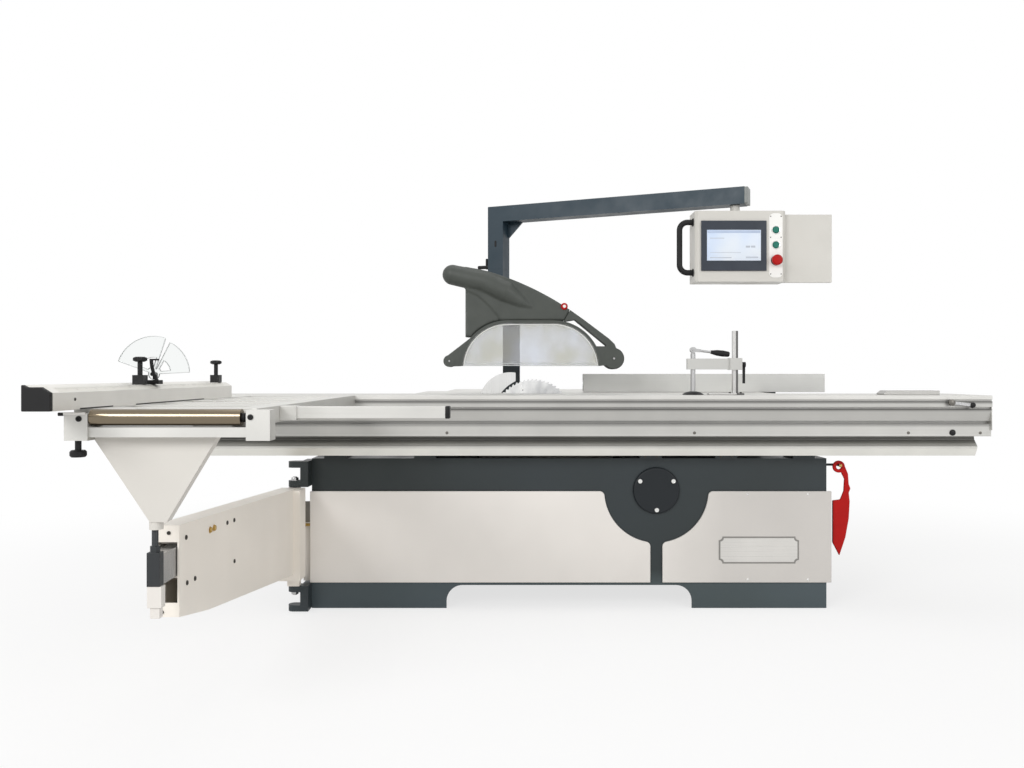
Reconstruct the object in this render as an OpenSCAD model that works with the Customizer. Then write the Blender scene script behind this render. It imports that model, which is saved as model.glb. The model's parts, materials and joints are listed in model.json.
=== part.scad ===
// Sliding table saw with an outrigger on a swing arm, an overhead guard and a control panel on a boom.
// X runs along the table's travel, Y from the operator's side to the rip side, Z up from the floor.
// Inside the modules Y is counted from the sliding table's front face, and in_frame() shifts it.

/* [Tables] */
// Height of all table surfaces above the floor
top_z = 880; // [860:1:920]
// Length of the sliding table
table_l = 3200; // [3000:10:3600]
// Depth of the sliding table, from its front face to the blade slot
table_w = 384; // [380:1:392]
// Height of the sliding table's beam
table_h = 164; // [156:1:166]
// Depth of the closed body of that beam
beam_w = 170; // [150:1:180]
// Thickness of the flange that reaches over the saw unit
flange_t = 12; // [9:0.5:14]
// Width of the blade slot between the sliding and the fixed table
slot_w = 14; // [12:0.5:18]
// Length of the fixed cast table along X
main_l = 1600; // [1500:10:1700]
// Depth of the fixed cast table
main_w = 559; // [540:1:600]
// Thickness of the fixed cast table's plate
main_t = 32; // [24:1:34]
// Depth of the extension table behind it
ext_w = 643; // [500:1:700]
// Thickness of the extension table's plate
ext_t = 30; // [20:1:40]

/* [Base] */
// Length of the cabinet along X
base_l = 2124; // [2000:2:2300]
// Middle of the cabinet along X
base_x = -86; // [-120:1:-50]
// Depth of the cabinet
base_w = 780; // [760:1:900]
// Height of the cabinet
base_h = 618; // [600:1:622]
// Set-back of the cabinet's front from the sliding table's front
base_front = 115; // [105:1:118]
// Thickness of the cabinet's walls
base_wall = 6; // [4:0.5:8]
// Height of the arch between the feet
arch_h = 95; // [70:1:100]
// Corner radius of the arch
arch_r = 66; // [30:1:68]
// Thickness of the front cover panels
panel_t = 10; // [4:0.5:14]
// Radius of the round cover on the front
round_cover_r = 96; // [70:1:120]
// Outer radius of the dust outlet on the back
dust_r = 60; // [40:1:80]
// Length of the dust outlet
dust_l = 90; // [60:1:120]
// Radius of the anchor holes in the feet
anchor_r = 9; // [6:0.5:12]

/* [Slide rail] */
// Length of the fixed rail under the sliding table
rail_l = 3120; // [2800:10:3200]
// Height of the rail
rail_h = 78; // [60:1:80]
// Gap between the rail and the table's beam
rail_gap = 2; // [1:0.1:4]
// Radius of the two guide rods
guide_r = 8; // [6:0.5:10]
// Running clearance of sliding pieces
slide_c = 0.3; // [0.2:0.05:0.5]
// Radial clearance of pins in their bores
pin_c = 0.05; // [0.02:0.01:0.1]

/* [Swing arm] */
// Hinge axis of the swing arm along X
hinge_x = -1207; // [-1230:1:-1200]
// Hinge axis of the swing arm along Y
hinge_y = 70; // [60:1:75]
// Radius of the hinge pins
hinge_pin_r = 10; // [8:0.5:12]
// Length of the arm's box, from the hinge axis to its free end
arm_l = 1330; // [1250:5:1340]
// Width of the arm's box
arm_w = 70; // [64:1:76]
// Thickness of the arm's sheet
arm_t = 4; // [2:0.5:6]
// Length of the telescoping tube inside the arm
tube_l = 1000; // [900:10:1050]
// Height of the telescoping tube
tube_h = 76; // [66:1:80]
// Width of the telescoping tube
tube_w = 36; // [30:1:44]
// Distance from the hinge axis to the outrigger's post
post_reach = 1438; // [1425:1:1445]

/* [Outrigger] */
// Length of the outrigger frame in front of the sliding table
outrigger_w = 1385; // [1370:1:1400]
// Left edge of the outrigger frame
outrigger_x0 = -1403; // [-1410:1:-1400]
// Right edge of the outrigger's bracket
outrigger_x1 = -906; // [-910:1:-880]
// Radius of the support roller
roller_r = 20.5; // [16:0.5:24]
// Height of the frame's rails
rail_side_h = 44; // [38:1:50]
// Length of the mitre fence
fence_l = 1312; // [1250:1:1350]
// Overhang of the mitre fence in front of the sliding table
fence_reach = 1576; // [1540:1:1620]
// Width of the mitre fence
fence_w = 66; // [62:1:76]
// Height of the mitre fence's flat top
fence_h = 55; // [48:1:60]

/* [Saw unit] */
// Radius of the saw blade
blade_r = 175; // [160:1:176]
// Thickness of the saw blade
blade_t = 3.2; // [2.4:0.1:4]
// Place of the saw arbor along X
blade_x = -228; // [-250:1:-200]
// Depth of the arbor below the table at rest
arbor_drop = 110; // [106:1:114]
// Number of teeth on the saw blade
blade_teeth = 60; // [24:1:80]
// Radius of the saw arbor
arbor_r = 15; // [12:0.5:16]
// Radius of the scoring blade
scoring_r = 60; // [50:1:62]
// Radius of both drive pulleys
pulley_r = 40; // [34:1:41]

/* [Guard] */
// Radius of the clear guard's round ends
guard_r = 200; // [190:1:204]
// Distance between the centres of those round ends
guard_span = 200; // [180:1:220]
// Height of the guard's lower edge above the table
guard_lift = 122; // [115:1:140]
// Width of the guard along Y
guard_w = 100; // [90:1:108]
// Thickness of the guard's rim
rim_t = 12; // [8:0.5:14]
// Width of the guard's post
guard_post_w = 80; // [60:1:90]

/* [Control boom] */
// Width of the pillar's square tube
pillar_w = 78; // [70:1:84]
// Height of the boom's top above the floor
boom_z = 1764; // [1750:1:1850]
// Height of the boom's tube
boom_h = 73; // [66:1:90]
// Length of the boom, from the pillar's axis to its end
boom_l = 1162; // [1140:1:1250]
// Angle of the boom towards the operator
boom_angle = 23.4; // [15:0.1:30]
// Width of the control panel's box
panel_w = 381; // [370:1:420]
// Height of the control panel's box
panel_h = 298; // [280:1:320]
// Depth of the control panel's box
panel_d = 120; // [115:1:140]

/* [Rip fence] */
// Length of the rip fence
rip_l = 1140; // [900:1:1300]
// Height of the rip fence
rip_h = 86; // [70:1:110]
// Width of the rip fence
rip_w = 50; // [40:1:60]
// Radius of the round bar that guides it
rip_bar_r = 20; // [16:0.5:24]

/* [Hidden] */
$fn = 48;
// Small overlap that lets cuts pass through a face
cut = 1;
// Offset of the sliding table's front face that puts the box's middle at the origin
front_y = (fence_reach - (table_w + slot_w + main_w + ext_w)) / 2;

// Finishes
paint_light = [0.87, 0.85, 0.83];
paint_dark = [0.20, 0.23, 0.25];
alloy = [0.78, 0.77, 0.76];
steel = [0.62, 0.63, 0.64];
iron = [0.55, 0.55, 0.54];
black = [0.12, 0.12, 0.13];
hood_grey = [0.35, 0.36, 0.36];
red = [0.72, 0.11, 0.10];
green = [0.16, 0.51, 0.43];
clear = [0.85, 0.88, 0.90, 0.5];

// Sliding table and rail
beam_z = top_z - table_h;
rail_top = beam_z - rail_gap;
rail_z = rail_top - rail_h;
rail_back = 135;
guide_ys = [62, 112];
t_slot_ys = [135, 270];

// Cabinet
base_x0 = base_x - base_l / 2;
base_x1 = base_x + base_l / 2;
base_back = base_front + base_w;
deck_t = 10;
floor_t = 12;
disc_x = 273;
disc_z = 486;
disc_r = 215;
stem_w = 50;
panel_z0 = arch_h + floor_t;
panel_z1 = 483;
foot_l = 556;
dust_z = 330;
dust_wall = 4;
anchor_dx = base_l - 100;
anchor_dy = base_w - 100;

// Fixed table
main_x0 = 50 - main_l / 2;
main_x1 = 50 + main_l / 2;
main_y0 = table_w + slot_w;
main_y1 = main_y0 + main_w;
main_z = top_z - main_t;
ext_y1 = main_y1 + ext_w;

// Saw unit
blade_y = table_w + slot_w / 2;
arbor_z = top_z - arbor_drop;
arbor_flange_r = 42;
arbor_flange_t = 12;
tilt_face = blade_y + 24;
tilt_t = 16;
tilt_x0 = blade_x - 312;
tilt_x1 = blade_x + 458;
tilt_z0 = top_z - 280;
tilt_z1 = top_z - 50;
segment_r = 250;
segment_band = 35;
segment_t = 20;
saddle_w = 24;
saddle_gap = 2;
carriage_face = tilt_face + tilt_t + slide_c;
carriage_t = 18;
housing_r = 38;
housing_y1 = blade_y + 209;
motor_x = blade_x + 268;
motor_z = top_z - 235;
motor_r = 80;
pulley_y0 = housing_y1 + 5;
pulley_l = 40;
scoring_x = blade_x + 273;
scoring_z = top_z - scoring_r - 6;

// Outrigger
roller_y = -outrigger_w - 24;
roller_z = top_z - roller_r;
roller_x0 = outrigger_x0 + 59;
roller_x1 = outrigger_x1 - 73;
axle_l = [30, 40];
axle_r = 8;
side_rail_w = 60;
fence_z = top_z + slide_c;
fence_x0 = outrigger_x0 - 24;
fence_x1 = fence_x0 + fence_w;
fence_mid = (fence_x0 + fence_x1) / 2;
fence_top = fence_z + fence_h;
fence_y1 = fence_l - fence_reach;
cap_t = 12;
mitre_x = outrigger_x0 + 17;
mitre_y = fence_y1 - 90;
stop_ys = [fence_y1 - 742, fence_y1 - 77];
flag_y = fence_y1 - 676;
post_y = hinge_y - post_reach;
ring_z0 = 581;
tip_z = 601;

// Swing arm
arm_x = hinge_x - 15;
arm_y1 = hinge_y - arm_l;
tube_x = hinge_x - 5;
tube_z = 440;
bracket_zs = [4, 508];
bracket_h = 103;
prong_t = 25;

// Clamp on the sliding table
clamp_y = t_slot_ys[0];
clamp_post_x = 603;
clamp_post_w = 22;
spindle_x = 429;
spindle_r = 10;
arm_low = 983;
arm_high = 1032;
lever_z = 1066;

// Guard
guard_x = blade_x - 12;
guard_z0 = top_z + guard_lift;
guard_axis_z = guard_z0 - 12;
guard_y0 = blade_y + 4 - guard_w / 2;
guard_y1 = guard_y0 + guard_w;
guard_post_x = -325;
guard_post_y0 = 600;
guard_post_d = 40;
guard_post_z1 = 1394;
collar_z0 = guard_axis_z + guard_r + rim_t + 4;
collar_h = 68;
disc_right = [125, 1034];
disc_left = [-597, 1023];
disc_right_r = 44;
disc_left_r = 26;

// Boom
pillar = [-386, 720];
boom_z0 = boom_z - boom_h;
socket_z1 = 1465;
spigot_r = 28;
spigot_l = 120;
swivel_reach = 1116;
swivel = [pillar[0] + swivel_reach * cos(boom_angle), pillar[1] - swivel_reach * sin(boom_angle)];
swivel_r = 20;
swivel_gap = 39;
panel_x0 = swivel[0] - panel_w / 2;
panel_y0 = swivel[1] - panel_d + 22;
panel_z1_box = boom_z0 - swivel_gap;
panel_z0_box = panel_z1_box - panel_h;
button_x = panel_x0 + panel_w - 43;
button_zs = [panel_z0_box + 154, panel_z0_box + 217];
button_r = 13.7;
stop_z = panel_z0_box + 89;
boom_wall = 5;

// Rip fence
rip_x0 = 15;
rip_y0 = 650;
rip_bar_x = main_x1 + 55;
rip_bar_z = top_z - 42;
rip_head_l = 150;

// Push stick
stick_x = 1033;
stick_z = 582;
stick_y0 = 128;
stick_t = 12;
hook_r = 5;
stick_eye_r = 11;
hook_z = stick_z + stick_eye_r - hook_r - slide_c;

// Helpers

module in_frame() { translate([0, front_y, 0]) children(); }

module box(x0, x1, y0, y1, z0, z1) { translate([x0, y0, z0]) cube([x1 - x0, y1 - y0, z1 - z0]); }

module along_x(x0, x1) { translate([x0, 0, 0]) rotate([90, 0, 90]) linear_extrude(x1 - x0) children(); }

module along_y(y0, y1) { translate([0, y1, 0]) rotate([90, 0, 0]) linear_extrude(y1 - y0) children(); }

module rod_x(x0, x1, y, z, r) { translate([x0, y, z]) rotate([0, 90, 0]) cylinder(h = x1 - x0, r = r); }

module rod_y(y0, y1, x, z, r) { translate([x, y1, z]) rotate([90, 0, 0]) cylinder(h = y1 - y0, r = r); }

module rod_z(z0, z1, x, y, r) { translate([x, y, z0]) cylinder(h = z1 - z0, r = r); }

function arc(c, r, a0, a1, n) = [for (i = [0 : n]) c + r * [cos(a0 + (a1 - a0) * i / n),
    sin(a0 + (a1 - a0) * i / n)]];

// Points of the clear guard's outline from its right foot over the top to its left foot
function guard_points(r) = concat(
    arc([guard_x + guard_span / 2, guard_axis_z], r, asin((guard_z0 - guard_axis_z) / r), 90, 24),
    arc([guard_x - guard_span / 2, guard_axis_z], r, 90, 180 - asin((guard_z0 - guard_axis_z) / r), 24));

module guard_outline(r) { polygon(guard_points(r)); }

// The same outline carried on below the guard's lower edge, for cuts that stay open there
module guard_outline_open(r) {
    reach = guard_span / 2 + r;
    polygon(concat(guard_points(r), [[guard_x - reach, guard_z0 - 80], [guard_x + reach, guard_z0 - 80]]));
}

// Base

module arch_cut() {
    x0 = base_x0 + foot_l;
    x1 = base_x1 - foot_l;
    translate([x0, -cut]) square([x1 - x0, arch_h - arch_r + cut]);
    translate([x0 + arch_r, -cut]) square([x1 - x0 - 2 * arch_r, arch_h + cut]);
    translate([x0 + arch_r, arch_h - arch_r]) circle(arch_r);
    translate([x1 - arch_r, arch_h - arch_r]) circle(arch_r);
}

// Saddle with a round seat for one trunnion segment of the tilting frame
module trunnion_saddle(x0) {
    x1 = x0 + saddle_w;
    beam_z0 = tilt_z0 - 40;
    box(x0, x1, base_front + base_wall - cut, base_back - base_wall + cut, beam_z0, tilt_z0);
    difference() {
        box(x0, x1, blade_y - 216, blade_y + 259, tilt_z0 - cut, top_z - 160);
        rod_x(x0 - cut, x1 + cut, blade_y, top_z, segment_r + slide_c);
    }
}

module base_frame() {
    bay = [base_x - 554, base_x + 416];
    blade_bay = [blade_x - 242, blade_x + 368];
    strip_w = 147;
    plinth_t = 12;
    pad_l = 400;
    pad_xs = [-1050, -680, 250, 560, 880];
    color(paint_dark) {
        difference() {
            box(base_x0, base_x1, base_front, base_back, 0, base_h);
            box(base_x0 + base_wall, base_x1 - base_wall, base_front + base_wall, base_back - base_wall,
                arch_h + floor_t, base_h - deck_t);
            box(bay[0], bay[1], base_front + strip_w, base_back - 35, base_h - deck_t - cut, base_h + cut);
            box(blade_bay[0], blade_bay[1], base_front + 10, base_front + strip_w + cut,
                base_h - deck_t - cut, base_h + cut);
            along_y(base_front - cut, base_back + cut) arch_cut();
            rod_y(base_back - base_wall - cut, base_back + cut, blade_x, dust_z, dust_r - dust_wall);
            for (s = [-1, 1]) {
                x_out = base_x + s * (base_l / 2 - base_wall);
                x_pad = base_x + s * (base_l / 2 - pad_l);
                x_in = base_x + s * (base_l / 2 - foot_l - arch_r - cut);
                box(min(x_out, x_in), max(x_out, x_in), base_front + base_wall, base_back - base_wall,
                    deck_t, arch_h);
                box(min(x_pad, x_in), max(x_pad, x_in), base_front + base_wall, base_back + cut, -cut,
                    arch_h);
                for (t = [-1, 1])
                    rod_z(-cut, deck_t + cut, base_x + s * anchor_dx / 2,
                        base_front + base_w / 2 + t * anchor_dy / 2, anchor_r);
            }
        }
        difference() {
            box(main_x0 + 20, main_x1 - 60, main_y0 + 7, base_back - 3, base_h - cut, main_z);
            box(main_x0 + 20 + plinth_t, main_x1 - 60 - plinth_t, main_y0, base_back - 3 - plinth_t,
                base_h - 2 * cut, main_z + cut);
        }
        for (x = pad_xs)
            box(x - 45, x + 45, base_front - 10, base_front + 125, base_h - cut, rail_z);
        trunnion_saddle(tilt_x0 - saddle_gap - saddle_w);
        trunnion_saddle(tilt_x1 + saddle_gap);
        rod_x(base_x1 - cut, stick_x + hook_r, stick_y0 + 32, hook_z, hook_r);
        rod_y(stick_y0 - 12, stick_y0 + 32, stick_x, hook_z, hook_r);
    }
}

// Outline of one cover panel, square at its outer edge and round beside the disc
module panel_outline(x0, x1, outer) {
    corner_r = 20;
    spare = 3 * corner_r;
    wide = x1 - x0 + spare;
    intersection() {
        translate([x0, panel_z0]) square([x1 - x0, panel_z1 - panel_z0]);
        offset(r = corner_r, $fn = 32) offset(delta = -2 * corner_r) offset(delta = corner_r) difference() {
            translate([outer < 0 ? x0 - spare : x0, panel_z0 - spare])
                square([wide, panel_z1 - panel_z0 + spare]);
            translate([disc_x, disc_z]) circle(disc_r, $fn = 96);
            translate([disc_x - stem_w / 2, panel_z0 - spare - cut]) square([stem_w, panel_z1]);
        }
    }
}

module cover_panels() {
    overlap = 18;
    color(paint_light) along_y(base_front - panel_t, base_front) {
        panel_outline(base_x0 - overlap / 3, disc_x, -1);
        panel_outline(disc_x, base_x1 + overlap, 1);
    }
}

module round_cover() {
    rise = 14;
    edge = 5;
    color(paint_dark) translate([disc_x, base_front, disc_z]) rotate([90, 0, 0]) rotate_extrude($fn = 96)
        polygon([[0, 0], [round_cover_r, 0], [round_cover_r, rise - edge], [round_cover_r - edge, rise],
            [0, rise]]);
}

module hinge_brackets() {
    web_x0 = hinge_x + 27;
    prong_w = 50;
    pin_l = 22;
    color(paint_dark) for (z = bracket_zs) {
        box(web_x0, base_x0, hinge_y - prong_w / 2, base_front + 60, z, z + bracket_h);
        for (pz = [z, z + bracket_h - prong_t])
            union() {
                box(hinge_x, web_x0 + cut, hinge_y - prong_w / 2, hinge_y + prong_w / 2, pz, pz + prong_t);
                rod_z(pz, pz + prong_t, hinge_x, hinge_y, prong_w / 2);
            }
    }
    color(steel) {
        rod_z(bracket_zs[0] + bracket_h - cut, bracket_zs[0] + bracket_h + pin_l, hinge_x, hinge_y,
            hinge_pin_r);
        rod_z(bracket_zs[1] - pin_l, bracket_zs[1] + cut, hinge_x, hinge_y, hinge_pin_r);
    }
}

module slide_rail() {
    x0 = -rail_l / 2 - 10;
    nose = 20;
    wall = 8;
    color(alloy) along_x(x0, x0 + rail_l) {
        difference() {
            polygon([[rail_back, rail_z], [rail_back, rail_top], [48, rail_top], [44, rail_top - 14],
                [nose, rail_top - 38], [nose, rail_top - 46], [38, rail_z]]);
            translate([52, rail_z + wall]) square([rail_back - wall - 52, rail_h - 2 * wall - guide_r]);
        }
        for (y = guide_ys) translate([y, rail_top]) circle(guide_r);
    }
}

module main_table() {
    rib_t = 14;
    rib_h = 28;
    color(iron) {
        box(main_x0, main_x1, main_y0, main_y1, main_z, top_z);
        for (x = [main_x0 + 60, main_x1 - 200, main_x1 - 20])
            box(x, x + rib_t, main_y0 + 40, base_back - 20, main_z - rib_h, main_z + cut);
    }
}

module extension_table() {
    x0 = main_x0 + 100;
    rib_h = 40;
    rib_t = 12;
    strut_w = 40;
    sheet = 10;
    color(iron) {
        difference() {
            box(x0, main_x1, main_y1, ext_y1, top_z - ext_t, top_z);
            box(x0 + rib_t, main_x1 - rib_t, main_y1 + rib_t, ext_y1 - rib_t, top_z - ext_t - cut,
                top_z - sheet);
        }
        for (y = [main_y1 + 20, main_y1 + ext_w / 2, ext_y1 - rib_t])
            box(x0, main_x1, y, y + rib_t, top_z - ext_t - rib_h, top_z - sheet + cut);
        for (x = [x0 + 130, main_x1 - 170])
            along_x(x, x + strut_w) polygon([[base_back, 400], [base_back, 470],
                [ext_y1 - 140, top_z - sheet + cut], [ext_y1 - 60, top_z - sheet + cut]]);
    }
}

module rip_rail() {
    lug_l = 16;
    lug_w = 36;
    color(steel) {
        rod_y(main_y0 + 12, ext_y1 - 4, rip_bar_x, rip_bar_z, rip_bar_r);
        for (y = [main_y0 + 12, ext_y1 - 4 - lug_l])
            box(main_x1, rip_bar_x, y, y + lug_l, rip_bar_z - lug_w / 2, rip_bar_z + lug_w / 2);
    }
}

module guard_post() {
    foot_t = 12;
    color(black) {
        box(guard_post_x - guard_post_w / 2, guard_post_x + guard_post_w / 2, guard_post_y0,
            guard_post_y0 + guard_post_d, top_z, guard_post_z1);
        box(guard_post_x - guard_post_w / 2 - 35, guard_post_x + guard_post_w / 2 + 35, guard_post_y0 - 30,
            guard_post_y0 + guard_post_d, top_z, top_z + foot_t);
    }
}

// Socket of the boom on an offset block, carried by a stub behind the guard's post
module pillar_socket() {
    half = 30;
    foot_half = 42;
    foot_t = 12;
    block_z = [1240, 1330];
    stub = [guard_post_x, pillar[1]];
    color(paint_dark) {
        translate([pillar[0], pillar[1], 0]) rotate(-boom_angle) difference() {
            box(-pillar_w / 2, pillar_w / 2, -pillar_w / 2, pillar_w / 2, block_z[0] - 5, socket_z1);
            rod_z(socket_z1 - spigot_l - 10, socket_z1 + cut, 0, 0, spigot_r + pin_c);
        }
        box(pillar[0] - half, stub[0] + half, stub[1] - half, stub[1] + half, block_z[0], block_z[1]);
        box(stub[0] - half, stub[0] + half, stub[1] - half + 2, stub[1] + half - 2, top_z,
            block_z[0] + cut);
        box(stub[0] - foot_half, stub[0] + foot_half, stub[1] - foot_half, stub[1] + foot_half, top_z,
            top_z + foot_t);
    }
}

module dust_outlet() {
    flange_r = dust_r + 22;
    flange = 6;
    color(steel) difference() {
        union() {
            rod_y(base_back, base_back + dust_l, blade_x, dust_z, dust_r);
            rod_y(base_back, base_back + flange, blade_x, dust_z, flange_r);
        }
        rod_y(base_back - cut, base_back + dust_l + cut, blade_x, dust_z, dust_r - dust_wall);
    }
}

// Sliding table

module t_slot(y) {
    neck_w = 14;
    neck_d = 8;
    head_w = 24;
    head_d = 11;
    translate([y - neck_w / 2, top_z - neck_d - cut]) square([neck_w, neck_d + 2 * cut]);
    translate([y - head_w / 2, top_z - neck_d - head_d]) square([head_w, head_d]);
}

module beam_profile() {
    rib_d = 34;
    rib_y0 = t_slot_ys[1] - 20;
    rib_y1 = t_slot_ys[1] + 20;
    polygon([for (p = [
        [0, 0], [0, 16], [6, 17], [6, 23], [0, 24], [0, 46], [10, 46], [10, 54], [0, 56], [14, 98],
        [14, 101], [30, 101], [30, 114], [12, 114], [10, 118], [10, table_h],
        [beam_w, table_h], [beam_w, flange_t], [rib_y0, flange_t], [rib_y0, rib_d], [rib_y1, rib_d],
        [rib_y1, flange_t], [table_w - flange_t, flange_t], [table_w, 0]
    ]) [p[0], top_z - p[1]]]);
}

module table_beam() {
    wall = 6;
    inner_y = 36;
    color(alloy) along_x(-table_l / 2, table_l / 2) difference() {
        beam_profile();
        for (y = t_slot_ys) t_slot(y);
        for (y = guide_ys) translate([y, rail_top]) circle(guide_r + slide_c);
        translate([inner_y, top_z - 94]) square([beam_w - wall - inner_y, 66]);
        translate([inner_y, beam_z + 14]) square([beam_w - wall - inner_y, 46]);
    }
}

module crosscut_frame() {
    slats = 7;
    slat_w = 96;
    slat_t = 18;
    rail_x = [outrigger_x0 + 3, outrigger_x1 - 104];
    pitch = (outrigger_w - slat_w) / (slats - 1);
    bracket_y0 = roller_y - roller_r;
    rail_z0 = top_z - rail_side_h;
    color(alloy) {
        for (x = rail_x) box(x, x + side_rail_w, -outrigger_w, 0, rail_z0, top_z);
        for (i = [0 : slats - 1])
            box(rail_x[0] + side_rail_w - cut, rail_x[1] + cut, i * pitch - outrigger_w,
                i * pitch + slat_w - outrigger_w, top_z - slat_t, top_z);
        difference() {
            union() {
                box(outrigger_x0, outrigger_x1 - 40, roller_y - 14, -outrigger_w + 14, rail_z0 - 24,
                    rail_z0);
                box(outrigger_x0, roller_x0 - 2, bracket_y0, -outrigger_w - 6, rail_z0 - 32, top_z - 10);
                box(roller_x1 + 15, outrigger_x1, bracket_y0, -outrigger_w + 6, rail_z0 - 32, top_z - 2);
            }
            rod_x(roller_x0 - axle_l[0] - 2, roller_x0, roller_y, roller_z, axle_r + pin_c);
            rod_x(roller_x1, roller_x1 + axle_l[1] + 2, roller_y, roller_z, axle_r + pin_c);
            rod_z(rail_z0 - 33, rail_z0 - 2, outrigger_x0 + 25, roller_y, 7.5 + pin_c);
        }
    }
    color(steel) rod_z(top_z - cut, top_z + 24, mitre_x, mitre_y, 10);
}

module support_roller() {
    color(steel) {
        rod_x(roller_x0, roller_x1, roller_y, roller_z, roller_r);
        rod_x(roller_x0 - axle_l[0], roller_x1 + axle_l[1], roller_y, roller_z, axle_r);
    }
}

module level_knob() {
    z1 = top_z - rail_side_h - 32;
    x = outrigger_x0 + 25;
    color(black) {
        rod_z(z1 - 24, z1 + 26, x, roller_y, 7.5);
        translate([x, roller_y, z1 - 41]) rotate_extrude()
            polygon([[0, 0], [16, 0], [19.5, 4], [19.5, 13], [16, 17], [0, 17]]);
    }
}

module triangle_support() {
    sheet = 4;
    flange = 34;
    y0 = -outrigger_w - 4;
    top_z0 = top_z - rail_side_h - 24;
    top_x = [-1353, -1045];
    tip_x = [hinge_x - 5, hinge_x + 36];
    outline = [[top_x[0], top_z0], [tip_x[0], tip_z], [tip_x[1], tip_z], [top_x[1], top_z0]];
    color(paint_light) {
        along_y(y0, y0 + flange) difference() {
            polygon(outline);
            polygon([[top_x[0] + 6, top_z0 - sheet], [tip_x[0] + 4, tip_z + sheet], [tip_x[1] - 4,
                tip_z + sheet],
                [top_x[1] - 6, top_z0 - sheet]]);
        }
        along_y(y0, y0 + sheet) polygon(outline);
    }
    color(steel) rod_z(ring_z0, tip_z, hinge_x + 4, y0 + 19, 17);
}

module support_bar() {
    x0 = outrigger_x1 - 44;
    y0 = -1160;
    depth = 35;
    length = 447;
    color(alloy) {
        box(x0, x0 + 44, y0 - 6, y0 + depth + 6, top_z - 40, top_z - 1);
        box(x0 + 43, x0 + length, y0, y0 + depth, top_z - 35, top_z - 3);
    }
}

module edge_shoe() {
    x0 = table_l / 2 - 394;
    length = 229;
    height = 18;
    width = 80;
    lead = 15;
    color(alloy) along_y(t_slot_ys[0] - width / 2, t_slot_ys[0] + width / 2)
        polygon([[x0, top_z], [x0 + length, top_z], [x0 + length, top_z + height],
            [x0 + lead, top_z + height], [x0, top_z + 6]]);
}

module clamp_post() {
    half = clamp_post_w / 2;
    color(steel) {
        box(clamp_post_x - half, clamp_post_x + half, clamp_y - half, clamp_y + half, top_z, 1145);
        box(clamp_post_x - 112, clamp_post_x + 34, clamp_y - 24, clamp_y + 24, top_z, top_z + 7);
    }
}

module clamp_arm() {
    half = clamp_post_w / 2;
    fit = half + slide_c;
    collar = half + 14;
    color(paint_light) difference() {
        union() {
            box(clamp_post_x - collar, clamp_post_x + collar, clamp_y - collar, clamp_y + collar,
                arm_low, arm_high);
            box(spindle_x - 25, clamp_post_x - collar + cut, clamp_y - 15, clamp_y + 15, arm_low + 2,
                arm_high - 2);
        }
        box(clamp_post_x - fit, clamp_post_x + fit, clamp_y - fit, clamp_y + fit, arm_low - cut,
            arm_high + cut);
        rod_z(arm_low, arm_high, spindle_x, clamp_y, spindle_r + pin_c);
        rod_x(clamp_post_x + fit - cut, clamp_post_x + collar + cut, clamp_y, arm_low + 22, 6 + pin_c);
    }
}

module clamp_spindle() {
    color(steel) {
        rod_z(top_z + 14, lever_z - 15, spindle_x, clamp_y, spindle_r);
        box(spindle_x - 8, spindle_x + 8, clamp_y - 5, clamp_y + 5, lever_z - 16, lever_z - 5);
        rod_y(clamp_y - 5, clamp_y + 5, spindle_x, lever_z, 12);
        rod_y(clamp_y - 15, clamp_y + 15, spindle_x, lever_z, 5);
    }
}

module clamp_pad() {
    color(black) translate([spindle_x, clamp_y, top_z + slide_c]) rotate_extrude()
        polygon([[0, 0], [43, 0], [43, 3], [30, 10], [14, 13.7], [0, 13.7]]);
}

module cam_lever() {
    slope = 7;
    color(steel) difference() {
        translate([spindle_x, clamp_y, lever_z]) rotate([0, slope, 0]) {
            for (s = [-1, 1]) {
                rod_y(min(s * 5.3, s * 13), max(s * 5.3, s * 13), 0, 0, 12);
                box(0, 30, min(s * 5.3, s * 13), max(s * 5.3, s * 13), -6, 6);
            }
            box(16, 30, -13, 13, -6, 6);
            rod_x(29, 74, 0, 0, 5);
        }
        rod_y(clamp_y - 20, clamp_y + 20, spindle_x, lever_z, 5 + pin_c);
    }
}

module cam_grip() {
    slope = 7;
    color(black) translate([spindle_x, clamp_y, lever_z]) rotate([0, slope, 0]) translate([74, 0, 0])
        rotate([0, 90, 0]) rotate_extrude()
            polygon([[0, 0], [7, 0], [12, 26], [13, 50], [11, 74], [8, 78], [0, 78]]);
}

module post_lever() {
    x0 = clamp_post_x + clamp_post_w / 2 + 14 + slide_c;
    z = arm_low + 22;
    color(black) {
        rod_x(x0, x0 + 18, clamp_y, z, 11);
        rod_x(x0 - 12, x0 + cut, clamp_y, z, 6);
        along_x(x0 + 7, x0 + 16)
            polygon([[clamp_y - 7, z], [clamp_y - 5, z - 78], [clamp_y + 5, z - 78], [clamp_y + 7, z]]);
    }
}

module table_lock_lever() {
    x = table_l / 2 - 170;
    z = top_z - 28;
    slope = 7;
    reach = 84;
    color(steel) {
        rod_y(-8, 0, x, z, 9);
        rod_y(-20, -7, x, z, 12);
        translate([x, 0, z]) rotate([0, slope, 0]) {
            box(0, reach, -18, -9, -6, 6);
            translate([reach, -13.5, 0]) sphere(10);
        }
    }
}

// Mitre fence

module fence_outline() {
    lip = 5;
    polygon([[fence_x0, fence_z], [fence_x1, fence_z], [fence_x1, fence_z + fence_h - 13],
        [fence_x1 - 21, fence_top], [fence_x0 + 13, fence_top], [fence_x0 + 4, fence_top + lip],
        [fence_x0, fence_top + lip]]);
}

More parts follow.
